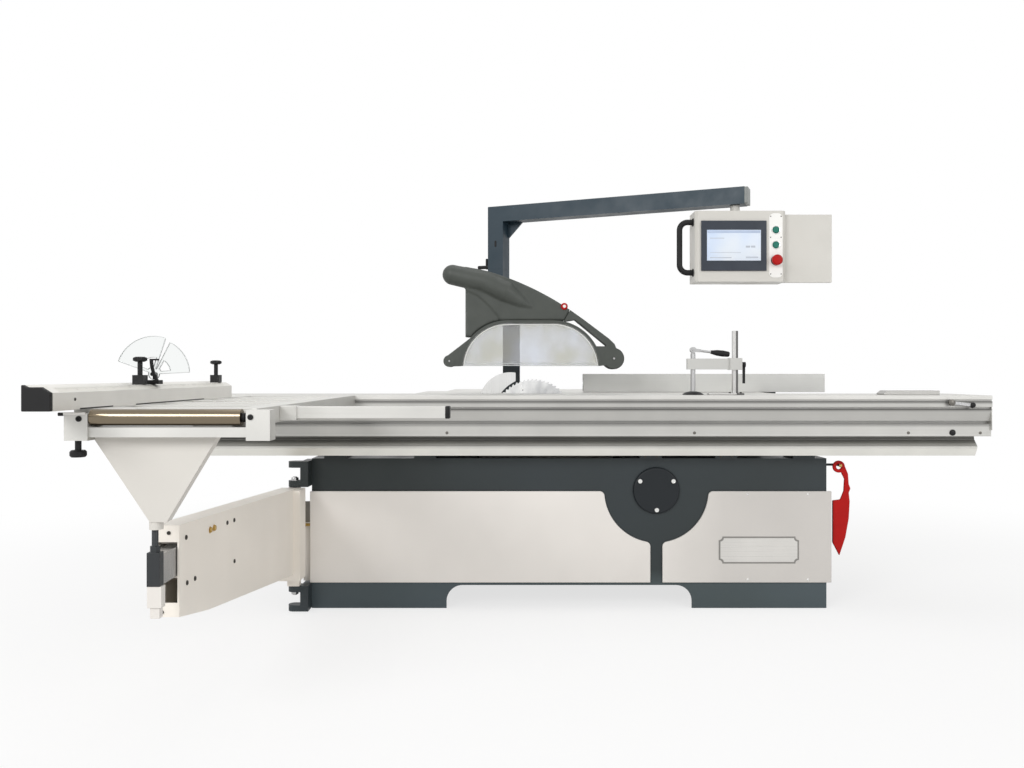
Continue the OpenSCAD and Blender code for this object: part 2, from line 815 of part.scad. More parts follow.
module fence_profile() {
    wall = 4;
    color(alloy) difference() {
        along_y(cap_t - fence_reach, fence_y1) difference() {
            fence_outline();
            translate([fence_mid - 5, fence_top - 12]) square([10, 12 + cut]);
            translate([fence_mid - 9, fence_top - 14]) square([18, 8]);
            translate([fence_x0 + wall, fence_z + wall]) square([fence_w - 2 * wall, fence_h - 30]);
        }
        rod_z(fence_z - cut, fence_z + wall + cut, mitre_x, mitre_y, 10 + pin_c);
    }
}

module fence_end_cap() {
    color(black) along_y(-fence_reach, cap_t - fence_reach) fence_outline();
}

// Stop block with a star knob, clamped on top of the mitre fence
module fence_stop(y) {
    z = fence_top + slide_c;
    knob_r = 17;
    lobe_r = 5.5;
    lobes = 6;
    rim = knob_r + lobe_r;
    color(black) {
        box(fence_mid - 16, fence_mid + 16, y - 16, y + 16, z, z + 27);
        rod_z(z + 26, z + 66, fence_mid, y, 7);
        translate([fence_mid, y, z + 65]) intersection() {
            linear_extrude(16) {
                circle(knob_r);
                for (i = [0 : lobes - 1]) rotate(i * 360 / lobes) translate([knob_r - 2, 0]) circle(lobe_r);
            }
            rotate_extrude() polygon([[0, -cut], [10, -cut], [rim, 5], [rim, 8], [rim - 4, 12],
                [rim - 10, 14.5], [0, 15]]);
        }
    }
}

module front_stop() { fence_stop(stop_ys[0]); }

module rear_stop() { fence_stop(stop_ys[1]); }

flag_axis = [fence_mid + 14, fence_top + 30];

module flag_stem() {
    z = fence_top + slide_c;
    strap_r = 134;
    strap_t = 8;
    strap_top = 45;
    strap_c = flag_axis + [strap_r - 8, strap_top];
    strap_sweep = asin((strap_c[1] - z - 8) / strap_r);
    strap_y = [flag_y - 14, flag_y - 6];
    tab = [26, 5];
    color(black) {
        box(fence_mid - 16, fence_mid + 34, flag_y - 16, flag_y + 16, z, z + 12);
        rod_y(flag_y - 14, flag_y + 14, flag_axis[0], flag_axis[1], 6);
        box(flag_axis[0] - 6, flag_axis[0] + 6, flag_y + 6, flag_y + 14, z + 11, flag_axis[1]);
        along_y(strap_y[0], strap_y[1])
            polygon(concat(arc(strap_c, strap_r, 180, 180 + strap_sweep, 10),
                arc(strap_c, strap_r - strap_t, 180 + strap_sweep, 180, 10)));
        box(flag_axis[0] - 8, flag_axis[0] - 8 + tab[0], strap_y[0], strap_y[1],
            flag_axis[1] + strap_top - tab[1], flag_axis[1] + strap_top);
    }
}

module flag_leaf(y0, y1, span, reach) {
    hub_r = 22;
    window_r = 50;
    spoke = 18;
    translate([flag_axis[0], 0, flag_axis[1]]) difference() {
        along_y(y0, y1) polygon(concat([[0, 0]], arc([0, 0], reach, span[0], span[1], 24)));
        along_y(y0 - cut, y1 + cut) polygon(concat(arc([0, 0], hub_r, span[0] + spoke, span[1] - spoke, 6),
            arc([0, 0], window_r, span[1] - spoke / 2, span[0] + spoke / 2, 12)));
    }
}

module clear_flags() {
    leaf_t = 5;
    y0 = flag_y - leaf_t / 2;
    y1 = flag_y + leaf_t / 2;
    color(clear) difference() {
        union() {
            rod_y(y0, y1, flag_axis[0], flag_axis[1], 16);
            flag_leaf(y0, y1, [72, 160], 112);
            flag_leaf(y0, y1, [3, 63], 105);
        }
        rod_y(y0 - cut, y1 + cut, flag_axis[0], flag_axis[1], 6 + slide_c);
    }
}

// Swing arm

module arm_outline(inset) {
    top = [504, 572];
    bottom = [160, 333];
    y_hinge = hinge_y - 20;
    polygon([[y_hinge - inset, bottom[0] + inset], [y_hinge - inset, top[0] - inset],
        [arm_y1 + inset, top[1] - inset], [arm_y1 + inset, bottom[1] + inset],
        [arm_y1 + 230, bottom[1] - 40 + inset]]);
}

module swing_arm() {
    z0 = bracket_zs[0] + bracket_h + slide_c;
    z1 = bracket_zs[1] - 3;
    win = [tube_z - 70, tube_z + tube_h + 12];
    guide_z = [tube_z - slide_c, tube_z + tube_h + slide_c];
    barrel_r = 24;
    color(paint_light) {
        difference() {
            union() {
                difference() {
                    along_x(arm_x - arm_w / 2, arm_x + arm_w / 2) arm_outline(0);
                    along_x(arm_x - arm_w / 2 + arm_t, arm_x + arm_w / 2 - arm_t) arm_outline(arm_t);
                }
                box(arm_x - arm_w / 2, hinge_x + 47, hinge_y - 115, hinge_y - 20, z0 + 40, z1);
                rod_z(z0, z1, hinge_x, hinge_y, barrel_r);
                box(hinge_x - barrel_r, hinge_x + barrel_r, hinge_y - 30, hinge_y, z0, z1);
            }
            box(arm_x - 20, tube_x + tube_w / 2 + 2, arm_y1 - cut, arm_y1 + arm_t + cut, win[0], win[1]);
            rod_z(z0 - cut, z0 + 30, hinge_x, hinge_y, hinge_pin_r + pin_c);
            rod_z(z1 - 30, z1 + cut, hinge_x, hinge_y, hinge_pin_r + pin_c);
        }
        for (y = [arm_y1 + 40, arm_y1 + 260]) {
            box(arm_x - arm_w / 2 + 1, arm_x + arm_w / 2 - 1, y, y + 40, guide_z[0] - 14, guide_z[0]);
            box(arm_x - arm_w / 2 + 1, arm_x + arm_w / 2 - 1, y, y + 40, guide_z[1], guide_z[1] + 14);
        }
    }
}

module inner_arm() {
    wall = 4;
    y0 = post_y + 14;
    color(steel) difference() {
        box(tube_x - tube_w / 2, tube_x + tube_w / 2, y0, y0 + tube_l, tube_z, tube_z + tube_h);
        box(tube_x - tube_w / 2 + wall, tube_x + tube_w / 2 - wall, y0 + wall, y0 + tube_l + cut,
            tube_z + wall, tube_z + tube_h - wall);
    }
}

module arm_post() {
    block_z = tube_z + 4;
    color(black) {
        box(hinge_x - 16, hinge_x + 16, post_y - 14, post_y + 14, tube_z, block_z + 80);
        translate([hinge_x, post_y, block_z + 79]) cylinder(h = 16, r = 13, $fn = 6);
        rod_z(block_z + 79, ring_z0 - 0.5, hinge_x, post_y, 8);
    }
    color(paint_light) {
        box(hinge_x - 16, hinge_x + 20, post_y - 12, post_y + 14, tube_z - 53, tube_z);
        box(hinge_x - 10, hinge_x + 14, post_y - 8, post_y + 14, tube_z - 80, tube_z - 52);
    }
}

// Saw unit

module tilt_frame() {
    slot_x = [blade_x - 247, blade_x + 58];
    slot_z = tilt_z0 + 22;
    color(iron) {
        difference() {
            box(tilt_x0, tilt_x1, tilt_face, tilt_face + tilt_t, tilt_z0, tilt_z1);
            box(slot_x[0], slot_x[1], tilt_face - cut, tilt_face + tilt_t + cut, slot_z, tilt_z1 + cut);
            rod_y(tilt_face - cut, tilt_face + tilt_t + cut, scoring_x, scoring_z, 10 + pin_c);
        }
        for (x = [tilt_x0 - segment_t, tilt_x1])
            along_x(x, x + segment_t) translate([blade_y, top_z]) difference() {
                polygon(concat([[0, 0]], arc([0, 0], segment_r * 1.2, -95, -20, 6)));
                circle(segment_r - segment_band);
                difference() {
                    circle(segment_r * 1.4);
                    circle(segment_r);
                }
            }
        difference() {
            rod_y(blade_y + 8, blade_y + 79, scoring_x, scoring_z, 20);
            rod_y(blade_y, blade_y + 80, scoring_x, scoring_z, 10 + pin_c);
        }
    }
}

module saw_carriage() {
    y1 = carriage_face + carriage_t;
    holder_x = [blade_x - 236, blade_x - 182];
    holder_z = [arbor_z - 70, arbor_z - 25];
    color(iron) difference() {
        union() {
            box(blade_x - 242, blade_x + 98, carriage_face, y1, top_z - 320, arbor_z + 30);
            box(blade_x + 97, blade_x + 358, carriage_face, y1, top_z - 320, motor_z + motor_r + 15);
            rod_y(blade_y + 16, housing_y1, blade_x, arbor_z, housing_r);
            box(holder_x[0], holder_x[1], blade_y + blade_t / 2 - 0.2, carriage_face + cut, holder_z[0],
                holder_z[1]);
        }
        rod_y(blade_y, housing_y1 + cut, blade_x, arbor_z, arbor_r + pin_c);
    }
}

module main_motor() {
    y0 = carriage_face + carriage_t;
    fins = 12;
    fin_h = 6;
    color(paint_dark) difference() {
        union() {
            rod_y(y0, housing_y1 - 5, motor_x, motor_z, motor_r - fin_h);
            for (i = [0 : fins - 1]) translate([motor_x, 0, motor_z]) rotate([0, i * 360 / fins, 0])
                box(-4, 4, y0 + 20, housing_y1 - 25, 0, motor_r);
        }
        rod_y(housing_y1 - 45, housing_y1, motor_x, motor_z, 12 + pin_c);
    }
}

module belt_loop(ends, r) {
    hull() {
        translate(ends[0]) circle(r);
        translate(ends[1]) circle(r);
    }
}

module drive_belt() {
    belt_t = 4;
    inset = 3;
    ends = [[blade_x, arbor_z], [motor_x, motor_z]];
    color(black) difference() {
        along_y(pulley_y0 + inset, pulley_y0 + pulley_l - inset)
            belt_loop(ends, pulley_r + slide_c + belt_t);
        along_y(pulley_y0, pulley_y0 + pulley_l) belt_loop(ends, pulley_r + slide_c);
    }
}

module motor_pulley() {
    color(steel) {
        rod_y(pulley_y0, pulley_y0 + pulley_l, motor_x, motor_z, pulley_r);
        rod_y(housing_y1 - 40, pulley_y0 + cut, motor_x, motor_z, 12);
    }
}

module riving_knife() {
    knife_t = blade_t - 0.4;
    back_c = [blade_x - 102, arbor_z + 66];
    color(steel) along_y(blade_y - knife_t / 2, blade_y + knife_t / 2) intersection() {
        difference() {
            translate(back_c) circle(138, $fn = 96);
            translate([blade_x, arbor_z]) circle(blade_r + 7, $fn = 96);
        }
        translate([blade_x - 300, arbor_z - 120]) square([222, 400]);
    }
}

module main_arbor() {
    color(steel) {
        rod_y(blade_y - 19, pulley_y0 + pulley_l, blade_x, arbor_z, arbor_r);
        rod_y(blade_y + blade_t / 2, blade_y + blade_t / 2 + arbor_flange_t, blade_x, arbor_z,
            arbor_flange_r);
        rod_y(blade_y - blade_t / 2 - arbor_flange_t, blade_y - blade_t / 2, blade_x, arbor_z,
            arbor_flange_r);
        translate([blade_x, blade_y - 13, arbor_z]) rotate([90, 0, 0]) cylinder(h = 13, r = 20, $fn = 6);
        rod_y(pulley_y0, pulley_y0 + pulley_l, blade_x, arbor_z, pulley_r);
    }
}

// Toothed disc with round gullets, on the XZ plane
module saw_disc(r, teeth, depth, bore) {
    pitch = 360 / teeth;
    difference() {
        union() {
            circle(r - depth, $fn = 96);
            for (i = [0 : teeth - 1]) rotate(i * pitch)
                polygon([[r - depth - 1, 0], [r, 0], [(r - 1) * cos(pitch * 0.3),
                    (r - 1) * sin(pitch * 0.3)],
                    [(r - depth - 1) * cos(pitch * 0.75), (r - depth - 1) * sin(pitch * 0.75)]]);
        }
        circle(bore);
    }
}

module main_blade() {
    slots = 4;
    color(steel) along_y(blade_y - blade_t / 2, blade_y + blade_t / 2) translate([blade_x,
        arbor_z]) difference() {
        saw_disc(blade_r, blade_teeth, 7, arbor_r + pin_c);
        for (i = [0 : slots - 1]) rotate(20 + i * 360 / slots) {
            translate([blade_r - 40, -1]) square([24, 2]);
            translate([blade_r - 40, 0]) circle(4);
        }
    }
}

module scoring_saw() {
    color(steel) {
        along_y(blade_y - 1.4, blade_y + 1.4) translate([scoring_x, scoring_z]) saw_disc(scoring_r, 24,
            5, 5);
        rod_y(blade_y - 8, blade_y + 78, scoring_x, scoring_z, 10);
        rod_y(blade_y + 1, blade_y + 6, scoring_x, scoring_z, 18);
        rod_y(blade_y - 6, blade_y - 1, scoring_x, scoring_z, 18);
    }
}

// Rip fence

module rip_fence_profile() {
    z0 = top_z + 1;
    wall = 4;
    mid = rip_h / 2;
    color(alloy) along_x(rip_x0, rip_x0 + rip_l) translate([rip_y0, z0]) difference() {
        square([rip_w, rip_h]);
        translate([wall, wall]) square([rip_w - 2 * wall, mid - 18]);
        translate([wall, mid + 14]) square([rip_w - 2 * wall, mid - 18]);
        translate([rip_w - 8, mid - 4]) square([9, 8]);
        translate([rip_w - 16, mid - 8]) square([10, 16]);
    }
}

module rip_fence_head() {
    y0 = rip_y0 - 10;
    color(paint_dark) difference() {
        union() {
            box(rip_bar_x - 32, rip_bar_x + 32, y0, y0 + rip_head_l, rip_bar_z - 34, top_z - 8);
            box(rip_bar_x - 32, rip_bar_x + 32, rip_y0 + rip_w, y0 + rip_head_l, top_z - 9,
                top_z + rip_h - 8);
        }
        rod_y(y0 - cut, y0 + rip_head_l + cut, rip_bar_x, rip_bar_z, rip_bar_r + pin_c);
    }
    color(black) rod_y(y0 + rip_head_l - cut, y0 + rip_head_l + 26, rip_bar_x, top_z + 40, 12);
}

// Overhead guard

hood_w = guard_w + 10;
hood_y0 = guard_y0 - 5;

module hood_side() {
    left = guard_x - 287;
    roof_c = [guard_x - 546.5, 189];
    roof_r = 1279.7;
    polygon(concat(
        [[left, guard_z0 + 120], [left, 1418]],
        arc(roof_c, roof_r, 75.86, 55.85, 16),
        [[-102, collar_z0 - 4], [guard_x, collar_z0 - 104]]
    ));
}

// Round-ended ridge on the hood's front, from a to b on the XZ plane
module duct_bulge(a, b, r) {
    slope = atan2(b[1] - a[1], b[0] - a[0]);
    translate([a[0], hood_y0 + 28, a[1]]) rotate([0, 90 - slope, 0]) rotate_extrude()
        polygon(concat(arc([0, 0], r, -90, 0, 10), arc([0, norm(b - a)], r, 0, 90, 10)));
}

module hood_shell() {
    wall = 4;
    duct_a = [-584, 1403];
    duct_b = [-441, 1370];
    duct_c = [-310, 1316];
    color(hood_grey) difference() {
        union() {
            along_y(hood_y0, hood_y0 + hood_w) hood_side();
            duct_bulge(duct_a, duct_b, 44);
            duct_bulge(duct_b, duct_c, 50);
        }
        along_y(hood_y0 + wall, hood_y0 + hood_w - wall) offset(delta = -wall) hood_side();
        along_y(hood_y0 - 60, hood_y0 + hood_w + 60) guard_outline(guard_r + rim_t);
        box(guard_x - 400, guard_x + 400, hood_y0 - cut, hood_y0 + hood_w + cut, top_z, guard_z0 + 127);
    }
}

module guard_frame() {
    strut = [[-66.5, 1247], [-6, 1204], [103, 1122], [128, 1098], [140, 1070], [90, 1070], [94, 1093],
        [-44, 1206], [-84, 1200], [-97, 1190]];
    suction = [guard_x - 90, guard_x + 90];
    cheek = 14;
    arm_half = 25;
    fit = guard_post_w / 2 + slide_c;
    color(hood_grey) {
        difference() {
            along_y(guard_y0, guard_y1) difference() {
                guard_outline(guard_r + rim_t);
                guard_outline_open(guard_r);
            }
            box(suction[0], suction[1], guard_y0 + 20, guard_y1 - 20, guard_z0, collar_z0);
        }
        for (y = [guard_y0 + 1, guard_y1 - cheek - 1]) {
            difference() {
                union() {
                    rod_y(y, y + cheek, disc_right[0], disc_right[1], disc_right_r);
                    box(disc_right[0] - 78, disc_right[0] - 8, y + 1, y + cheek - 1,
                        disc_right[1] - 30, disc_right[1] + 54);
                    along_y(y + 2, y + cheek - 2) polygon(strut);
                    rod_y(y, y + cheek, disc_left[0], disc_left[1], disc_left_r);
                    along_y(y + 1, y + cheek - 1) polygon([disc_left + [-8, 24], disc_left + [10, -23],
                        disc_left + [70, -21], disc_left + [130, 110], disc_left + [96, 104]]);
                }
                along_y(y - cut, y + cheek + cut) guard_outline_open(guard_r + rim_t - 3);
                rod_y(y - cut, y + cheek + cut, disc_right[0], disc_right[1], 6 + pin_c);
            }
        }
    }
    color(black) difference() {
        union() {
            box(guard_post_x - arm_half, guard_post_x + arm_half, guard_y1 - 2, guard_post_y0 - 10,
                collar_z0 - 14, collar_z0 - 5);
            box(guard_post_x - arm_half, guard_post_x + arm_half, hood_y0 + hood_w, guard_post_y0 - 10,
                collar_z0 - 6, collar_z0 + collar_h);
            box(guard_post_x - fit - 12, guard_post_x + fit + 12, guard_post_y0 - 14,
                guard_post_y0 + guard_post_d + 12, collar_z0, collar_z0 + collar_h);
        }
        box(guard_post_x - fit, guard_post_x + fit, guard_post_y0 - slide_c,
            guard_post_y0 + guard_post_d + slide_c, collar_z0 - cut, collar_z0 + collar_h + cut);
    }
}

module clear_guard() {
    plate = 4;
    color(clear) for (y = [guard_y0 + 3, guard_y1 - 3 - plate])
        along_y(y, y + plate) guard_outline(guard_r);
}

module hold_down_roller() {
    y0 = guard_y0 + 15;
    y1 = guard_y1 - 15;
    color(black) {
        rod_y(y0, y1, disc_right[0], disc_right[1], disc_right_r + 3);
        rod_y(guard_y0 - 2, guard_y1 + 2, disc_right[0], disc_right[1], 6);
    }
}

module hood_knob() {
    color(red) translate([-93, hood_y0, 1262]) rotate([90, 0, 0]) rotate_extrude()
        polygon([[0, 0], [15, 0], [15, 6], [12, 10], [0, 10]]);
}

// Control boom

module control_arm() {
    half = pillar_w / 2;
    gusset = 74;
    gusset_t = 10;
    gusset_y1 = half - 4;
    color(paint_dark) translate([pillar[0], pillar[1], 0]) rotate(-boom_angle) {
        difference() {
            box(-half, boom_l, -half, half, boom_z0, boom_z);
            box(half, boom_l - boom_wall, -half + boom_wall, half - boom_wall, boom_z0 + boom_wall,
                boom_z - boom_wall);
            rod_z(boom_z0 - cut, boom_z0 + boom_wall + cut, swivel_reach, 0, 12 + pin_c);
        }
        box(-half, half, -half, half, socket_z1 + slide_c, boom_z0 + cut);
        rod_x(-half - 60, -half + cut, -18, socket_z1 + 14, 8);
        rod_z(socket_z1 + 4, socket_z1 + 54, -half - 14, -18, 6.5);
        rod_z(socket_z1 - spigot_l, socket_z1 + cut, 0, 0, spigot_r);
        along_y(gusset_y1 - gusset_t, gusset_y1) polygon([[half - cut, boom_z0 + cut],
            [half - cut, boom_z0 - gusset], [half + gusset, boom_z0 + cut]]);
    }
}

module panel_box() {
    bevel = 12;
    wall = 4;
    x1 = panel_x0 + panel_w;
    y1 = panel_y0 + panel_d;
    color(paint_light) difference() {
        union() {
            translate([0, 0, panel_z0_box]) linear_extrude(panel_h) polygon([[panel_x0 + bevel, panel_y0],
                [x1 - bevel, panel_y0], [x1, panel_y0 + bevel], [x1, y1], [panel_x0, y1],
                [panel_x0, panel_y0 + bevel]]);
            rod_z(panel_z1_box - cut, boom_z0 - slide_c, swivel[0], swivel[1], swivel_r);
            rod_z(panel_z1_box, boom_z0 + 24, swivel[0], swivel[1], 12);
        }
        box(panel_x0 + bevel, x1 - bevel, panel_y0 + wall, y1 - wall, panel_z0_box + wall,
            panel_z1_box - wall);
        for (z = button_zs) rod_y(panel_y0 - cut, panel_y0 + 34, button_x, z, button_r + slide_c);
        rod_y(panel_y0 - cut, panel_y0 + 34, button_x, stop_z, 11 + slide_c);
    }
}

module touch_screen() {
    x0 = panel_x0 + 24;
    z0 = panel_z0_box + 45;
    frame_w = 273;
    frame_h = 210;
    glass_w = 227;
    glass_h = 130;
    rise = 8;
    color(black) difference() {
        box(x0, x0 + frame_w, panel_y0 - rise, panel_y0, z0, z0 + frame_h);
        box(x0 + (frame_w - glass_w) / 2, x0 + (frame_w + glass_w) / 2, panel_y0 - rise - cut,
            panel_y0 - rise + 2,
            z0 + 42, z0 + 42 + glass_h);
    }
}

module panel_handle() {
    r = 12;
    bend = 34;
    reach = 58;
    z0 = panel_z0_box + 42;
    z1 = panel_z0_box + 256;
    y = panel_y0 + 45;
    x = panel_x0 - reach;
    color(black) {
        rod_z(z0 + bend, z1 - bend, x, y, r);
        for (z = [z0, z1]) rod_x(x + bend, panel_x0, y, z, r);
        for (z = [z0 + bend, z1 - bend]) intersection() {
            translate([x + bend, y, z]) rotate([90, 0, 0]) rotate_extrude() translate([bend, 0]) circle(r);
            box(x - r - cut, x + bend, y - r - cut, y + r + cut, z < (z0 + z1) / 2 ? z0 - r - cut : z,
                z < (z0 + z1) / 2 ? z : z1 + r + cut);
        }
    }
}

module side_plate() {
    x0 = panel_x0 + panel_w;
    sheet = 4;
    length = 205;
    y = panel_y0 + 36;
    z0 = panel_z0_box;
    z1 = panel_z1_box - 10;
    color(paint_light) {
        box(x0, x0 + length, y, y + sheet, z0, z1);
        for (z = [z0, z1 - sheet]) box(x0, x0 + length, y, y + 22, z, z + sheet);
        box(x0 + length - sheet, x0 + length, y, y + 22, z0, z1);
    }
}

module push_button(z) {
    color(green) translate([button_x, panel_y0 + 28, z]) rotate([90, 0, 0]) rotate_extrude()
        polygon([[0, 0], [button_r, 0], [button_r, 34], [button_r - 2, 36], [0, 36]]);
}

module start_button() { push_button(button_zs[1]); }

module reset_button() { push_button(button_zs[0]); }

module e_stop() {
    color(red) translate([button_x, panel_y0 + 28, stop_z]) rotate([90, 0, 0]) rotate_extrude()
        polygon([[0, 0], [11, 0], [11, 40], [22, 44], [22, 54], [17, 59], [0, 60]]);
}

// Push stick with its eye over the hook

module push_stick() {
    eye = [stick_x, stick_z];
    color(red) difference() {
        union() {
            rod_y(stick_y0, stick_y0 + stick_t, eye[0], eye[1], 25);
            along_y(stick_y0, stick_y0 + stick_t) translate(eye) polygon([[20, 14], [38, -30], [41, -73],
                [48, -90], [41, -108], [45, -144], [41, -215],
                [27, -293], [2, -368], [-26, -314], [-26, -140], [6, -136], [20, -101], [23, -51], [9,
                    -22]]);
        }
        rod_y(stick_y0 - cut, stick_y0 + stick_t + cut, eye[0], eye[1], stick_eye_r);
    }
}

in_frame() base_frame();
in_frame() cover_panels();
in_frame() round_cover();
in_frame() hinge_brackets();
in_frame() slide_rail();
in_frame() main_table();
in_frame() extension_table();
in_frame() rip_rail();
in_frame() guard_post();
in_frame() pillar_socket();
in_frame() dust_outlet();
in_frame() table_beam();
in_frame() crosscut_frame();
in_frame() triangle_support();
in_frame() support_bar();
in_frame() edge_shoe();
in_frame() clamp_post();
in_frame() support_roller();
in_frame() level_knob();
in_frame() fence_profile();
in_frame() fence_end_cap();
in_frame() front_stop();
in_frame() rear_stop();
in_frame() flag_stem();
in_frame() clear_flags();
in_frame() table_lock_lever();
in_frame() clamp_arm();
in_frame() clamp_spindle();
in_frame() clamp_pad();
in_frame() cam_lever();
in_frame() cam_grip();
in_frame() post_lever();
in_frame() swing_arm();
in_frame() inner_arm();
in_frame() arm_post();
in_frame() tilt_frame();
in_frame() saw_carriage();
in_frame() main_motor();
in_frame() drive_belt();
in_frame() riving_knife();
in_frame() main_arbor();
in_frame() main_blade();
in_frame() motor_pulley();
in_frame() scoring_saw();
in_frame() rip_fence_profile();
in_frame() rip_fence_head();
in_frame() hood_shell();
in_frame() guard_frame();
in_frame() clear_guard();
in_frame() hold_down_roller();
in_frame() hood_knob();
in_frame() control_arm();
in_frame() panel_box();
in_frame() touch_screen();
in_frame() panel_handle();
in_frame() side_plate();
in_frame() start_button();
in_frame() reset_button();
in_frame() e_stop();
in_frame() push_stick();
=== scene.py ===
"""Looks for the sliding table saw: materials, small fittings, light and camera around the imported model."""
import json
import math

import bmesh
import bpy
from mathutils import Matrix, Vector
from mathutils.geometry import delaunay_2d_cdt


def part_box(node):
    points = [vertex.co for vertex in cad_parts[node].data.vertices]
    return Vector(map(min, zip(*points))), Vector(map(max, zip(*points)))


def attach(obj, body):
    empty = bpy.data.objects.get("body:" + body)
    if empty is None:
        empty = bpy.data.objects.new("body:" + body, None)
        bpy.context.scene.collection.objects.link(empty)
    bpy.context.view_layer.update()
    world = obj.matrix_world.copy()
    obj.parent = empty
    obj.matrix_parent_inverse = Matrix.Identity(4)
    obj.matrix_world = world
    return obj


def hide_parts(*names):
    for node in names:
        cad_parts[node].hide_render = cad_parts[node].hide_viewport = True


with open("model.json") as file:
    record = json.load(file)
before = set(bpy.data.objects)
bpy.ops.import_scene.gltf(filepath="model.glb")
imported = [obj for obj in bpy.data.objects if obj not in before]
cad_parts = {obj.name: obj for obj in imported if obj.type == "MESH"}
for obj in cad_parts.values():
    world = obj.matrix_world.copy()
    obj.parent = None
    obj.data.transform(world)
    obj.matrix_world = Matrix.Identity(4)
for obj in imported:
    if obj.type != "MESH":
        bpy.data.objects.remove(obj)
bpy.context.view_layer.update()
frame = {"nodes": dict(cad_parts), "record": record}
nodes = frame["nodes"]

MM = 0.001
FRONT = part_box("table_beam")[0].y    # the sliding table's front face
FACE = (0, -1, 0)                    # towards the operator
LEFT, RIGHT = (-1, 0, 0), (1, 0, 0)
UP, DOWN = (0, 0, 1), (0, 0, -1)


# Materials

def lin(r, g, b):
    """sRGB 0-255 to linear."""
    def one(c):
        c /= 255
        return c / 12.92 if c <= 0.04045 else ((c + 0.055) / 1.055) ** 2.4
    return (one(r), one(g), one(b), 1.0)


class Mat:
    """A Principled material with helpers that wire procedural detail into it."""

    def __init__(self, name, color, rough=0.5, metal=0.0):
        self.m = bpy.data.materials.new(name)
        self.m.use_nodes = True
        self.t = self.m.node_tree
        self.p = self.t.nodes["Principled BSDF"]
        self.p.inputs["Metallic"].default_value = metal
        self.p.inputs["Base Color"].default_value = color
        self.p.inputs["Roughness"].default_value = rough
        self.color = color
        self.rough = rough
        self.co = self.t.nodes.new("ShaderNodeTexCoord").outputs["Object"]

    def node(self, kind, **inputs):
        n = self.t.nodes.new(kind)
        for k, v in inputs.items():
            n.inputs[k].default_value = v
        return n

    def link(self, a, b):
        self.t.links.new(a, b)

    def stretched(self, sx, sy, sz):
        n = self.node("ShaderNodeMapping", Scale=(sx, sy, sz))
        self.link(self.co, n.inputs["Vector"])
        return n.outputs["Vector"]

    def noise(self, scale, detail=4.0, vector=None, rough=0.55):
        n = self.node("ShaderNodeTexNoise", Scale=scale, Detail=detail, Roughness=rough)
        self.link(vector or self.co, n.inputs["Vector"])
        return n.outputs["Fac"]

    def ramp(self, fac, lo, hi, p0=0.3, p1=0.7):
        n = self.node("ShaderNodeValToRGB")
        n.color_ramp.elements[0].position = p0
        n.color_ramp.elements[1].position = p1
        n.color_ramp.elements[0].color = lo
        n.color_ramp.elements[1].color = hi
        self.link(fac, n.inputs["Fac"])
        return n.outputs["Color"]

    def colored(self, fac, lo, hi, p0=0.3, p1=0.7):
        """Base colour that runs from lo to hi with fac."""
        self.link(self.ramp(fac, lo, hi, p0, p1), self.p.inputs["Base Color"])
        return self

    def tint(self, fac, amount):
        """Base colour that varies by amount either way with fac."""
        c = self.color
        lo = (*[x * (1 - amount) for x in c[:3]], 1)
        hi = (*[min(1, x * (1 + amount)) for x in c[:3]], 1)
        return self.colored(fac, lo, hi)

    def gloss(self, fac, amount):
        """Roughness that varies by amount either way with fac."""
        n = self.node("ShaderNodeMapRange", **{
            "From Min": 0.3, "From Max": 0.7,
            "To Min": max(0.02, self.rough - amount), "To Max": min(1, self.rough + amount)})
        self.link(fac, n.inputs["Value"])
        self.link(n.outputs["Result"], self.p.inputs["Roughness"])
        return self

    def bump(self, fac, strength, distance=0.001):
        n = self.node("ShaderNodeBump", Strength=strength, Distance=distance)
        self.link(fac, n.inputs["Height"])
        self.link(n.outputs["Normal"], self.p.inputs["Normal"])
        return self

    def shade(self, axis, stops):
        """Multiplies the base colour by grey levels at (place in metres, level) stops along an axis."""
        lo, hi = stops[0][0], stops[-1][0]
        part = self.node("ShaderNodeSeparateXYZ")
        self.link(self.co, part.inputs[0])
        span = self.node("ShaderNodeMapRange", **{"From Min": lo, "From Max": hi})
        self.link(part.outputs[axis], span.inputs["Value"])
        n = self.node("ShaderNodeValToRGB")
        els = n.color_ramp.elements
        els[0].color = (*[stops[0][1]] * 3, 1)
        els[1].color = (*[stops[-1][1]] * 3, 1)
        for place, level in stops[1:-1]:
            els.new((place - lo) / (hi - lo)).color = (level, level, level, 1)
        self.link(span.outputs["Result"], n.inputs["Fac"])
        mul = self.node("ShaderNodeMix", Factor=1)
        mul.data_type = "RGBA"
        mul.blend_type = "MULTIPLY"
        base = self.p.inputs["Base Color"]
        self.link(base.links[0].from_socket, mul.inputs["A"])
        self.link(n.outputs["Color"], mul.inputs["B"])
        self.link(mul.outputs["Result"], base)
        return self

    def sheen(self, level):
        """Strength of the white reflection on plastic and paint."""
        self.p.inputs["Specular IOR Level"].default_value = level
        return self


def paint(name, color, rough, peel=260.0):
    """Sprayed paint: orange peel, faint smudges and a slow drift of the shade."""
    m = Mat(name, color, rough)
    m.tint(m.noise(1.7, 3), 0.05)
    m.gloss(m.noise(9, 5), 0.09)
    m.bump(m.noise(peel, 2), 0.10, 0.0006)
    return m


def brushed(name, color, rough, axis, metal=1.0, line=900.0, vary=0.10, relief=0.12):
    """Metal with fine lines along one axis and soft blotches."""
    m = Mat(name, color, rough, metal)
    s = {"x": (2, line, line), "y": (line, 2, line), "z": (line, line, 2)}[axis]
    lines = m.noise(1.0, 2, m.stretched(*s))
    m.tint(m.noise(5, 4), vary)
    m.gloss(lines, 0.10)
    m.bump(lines, relief, 0.0003)
    return m


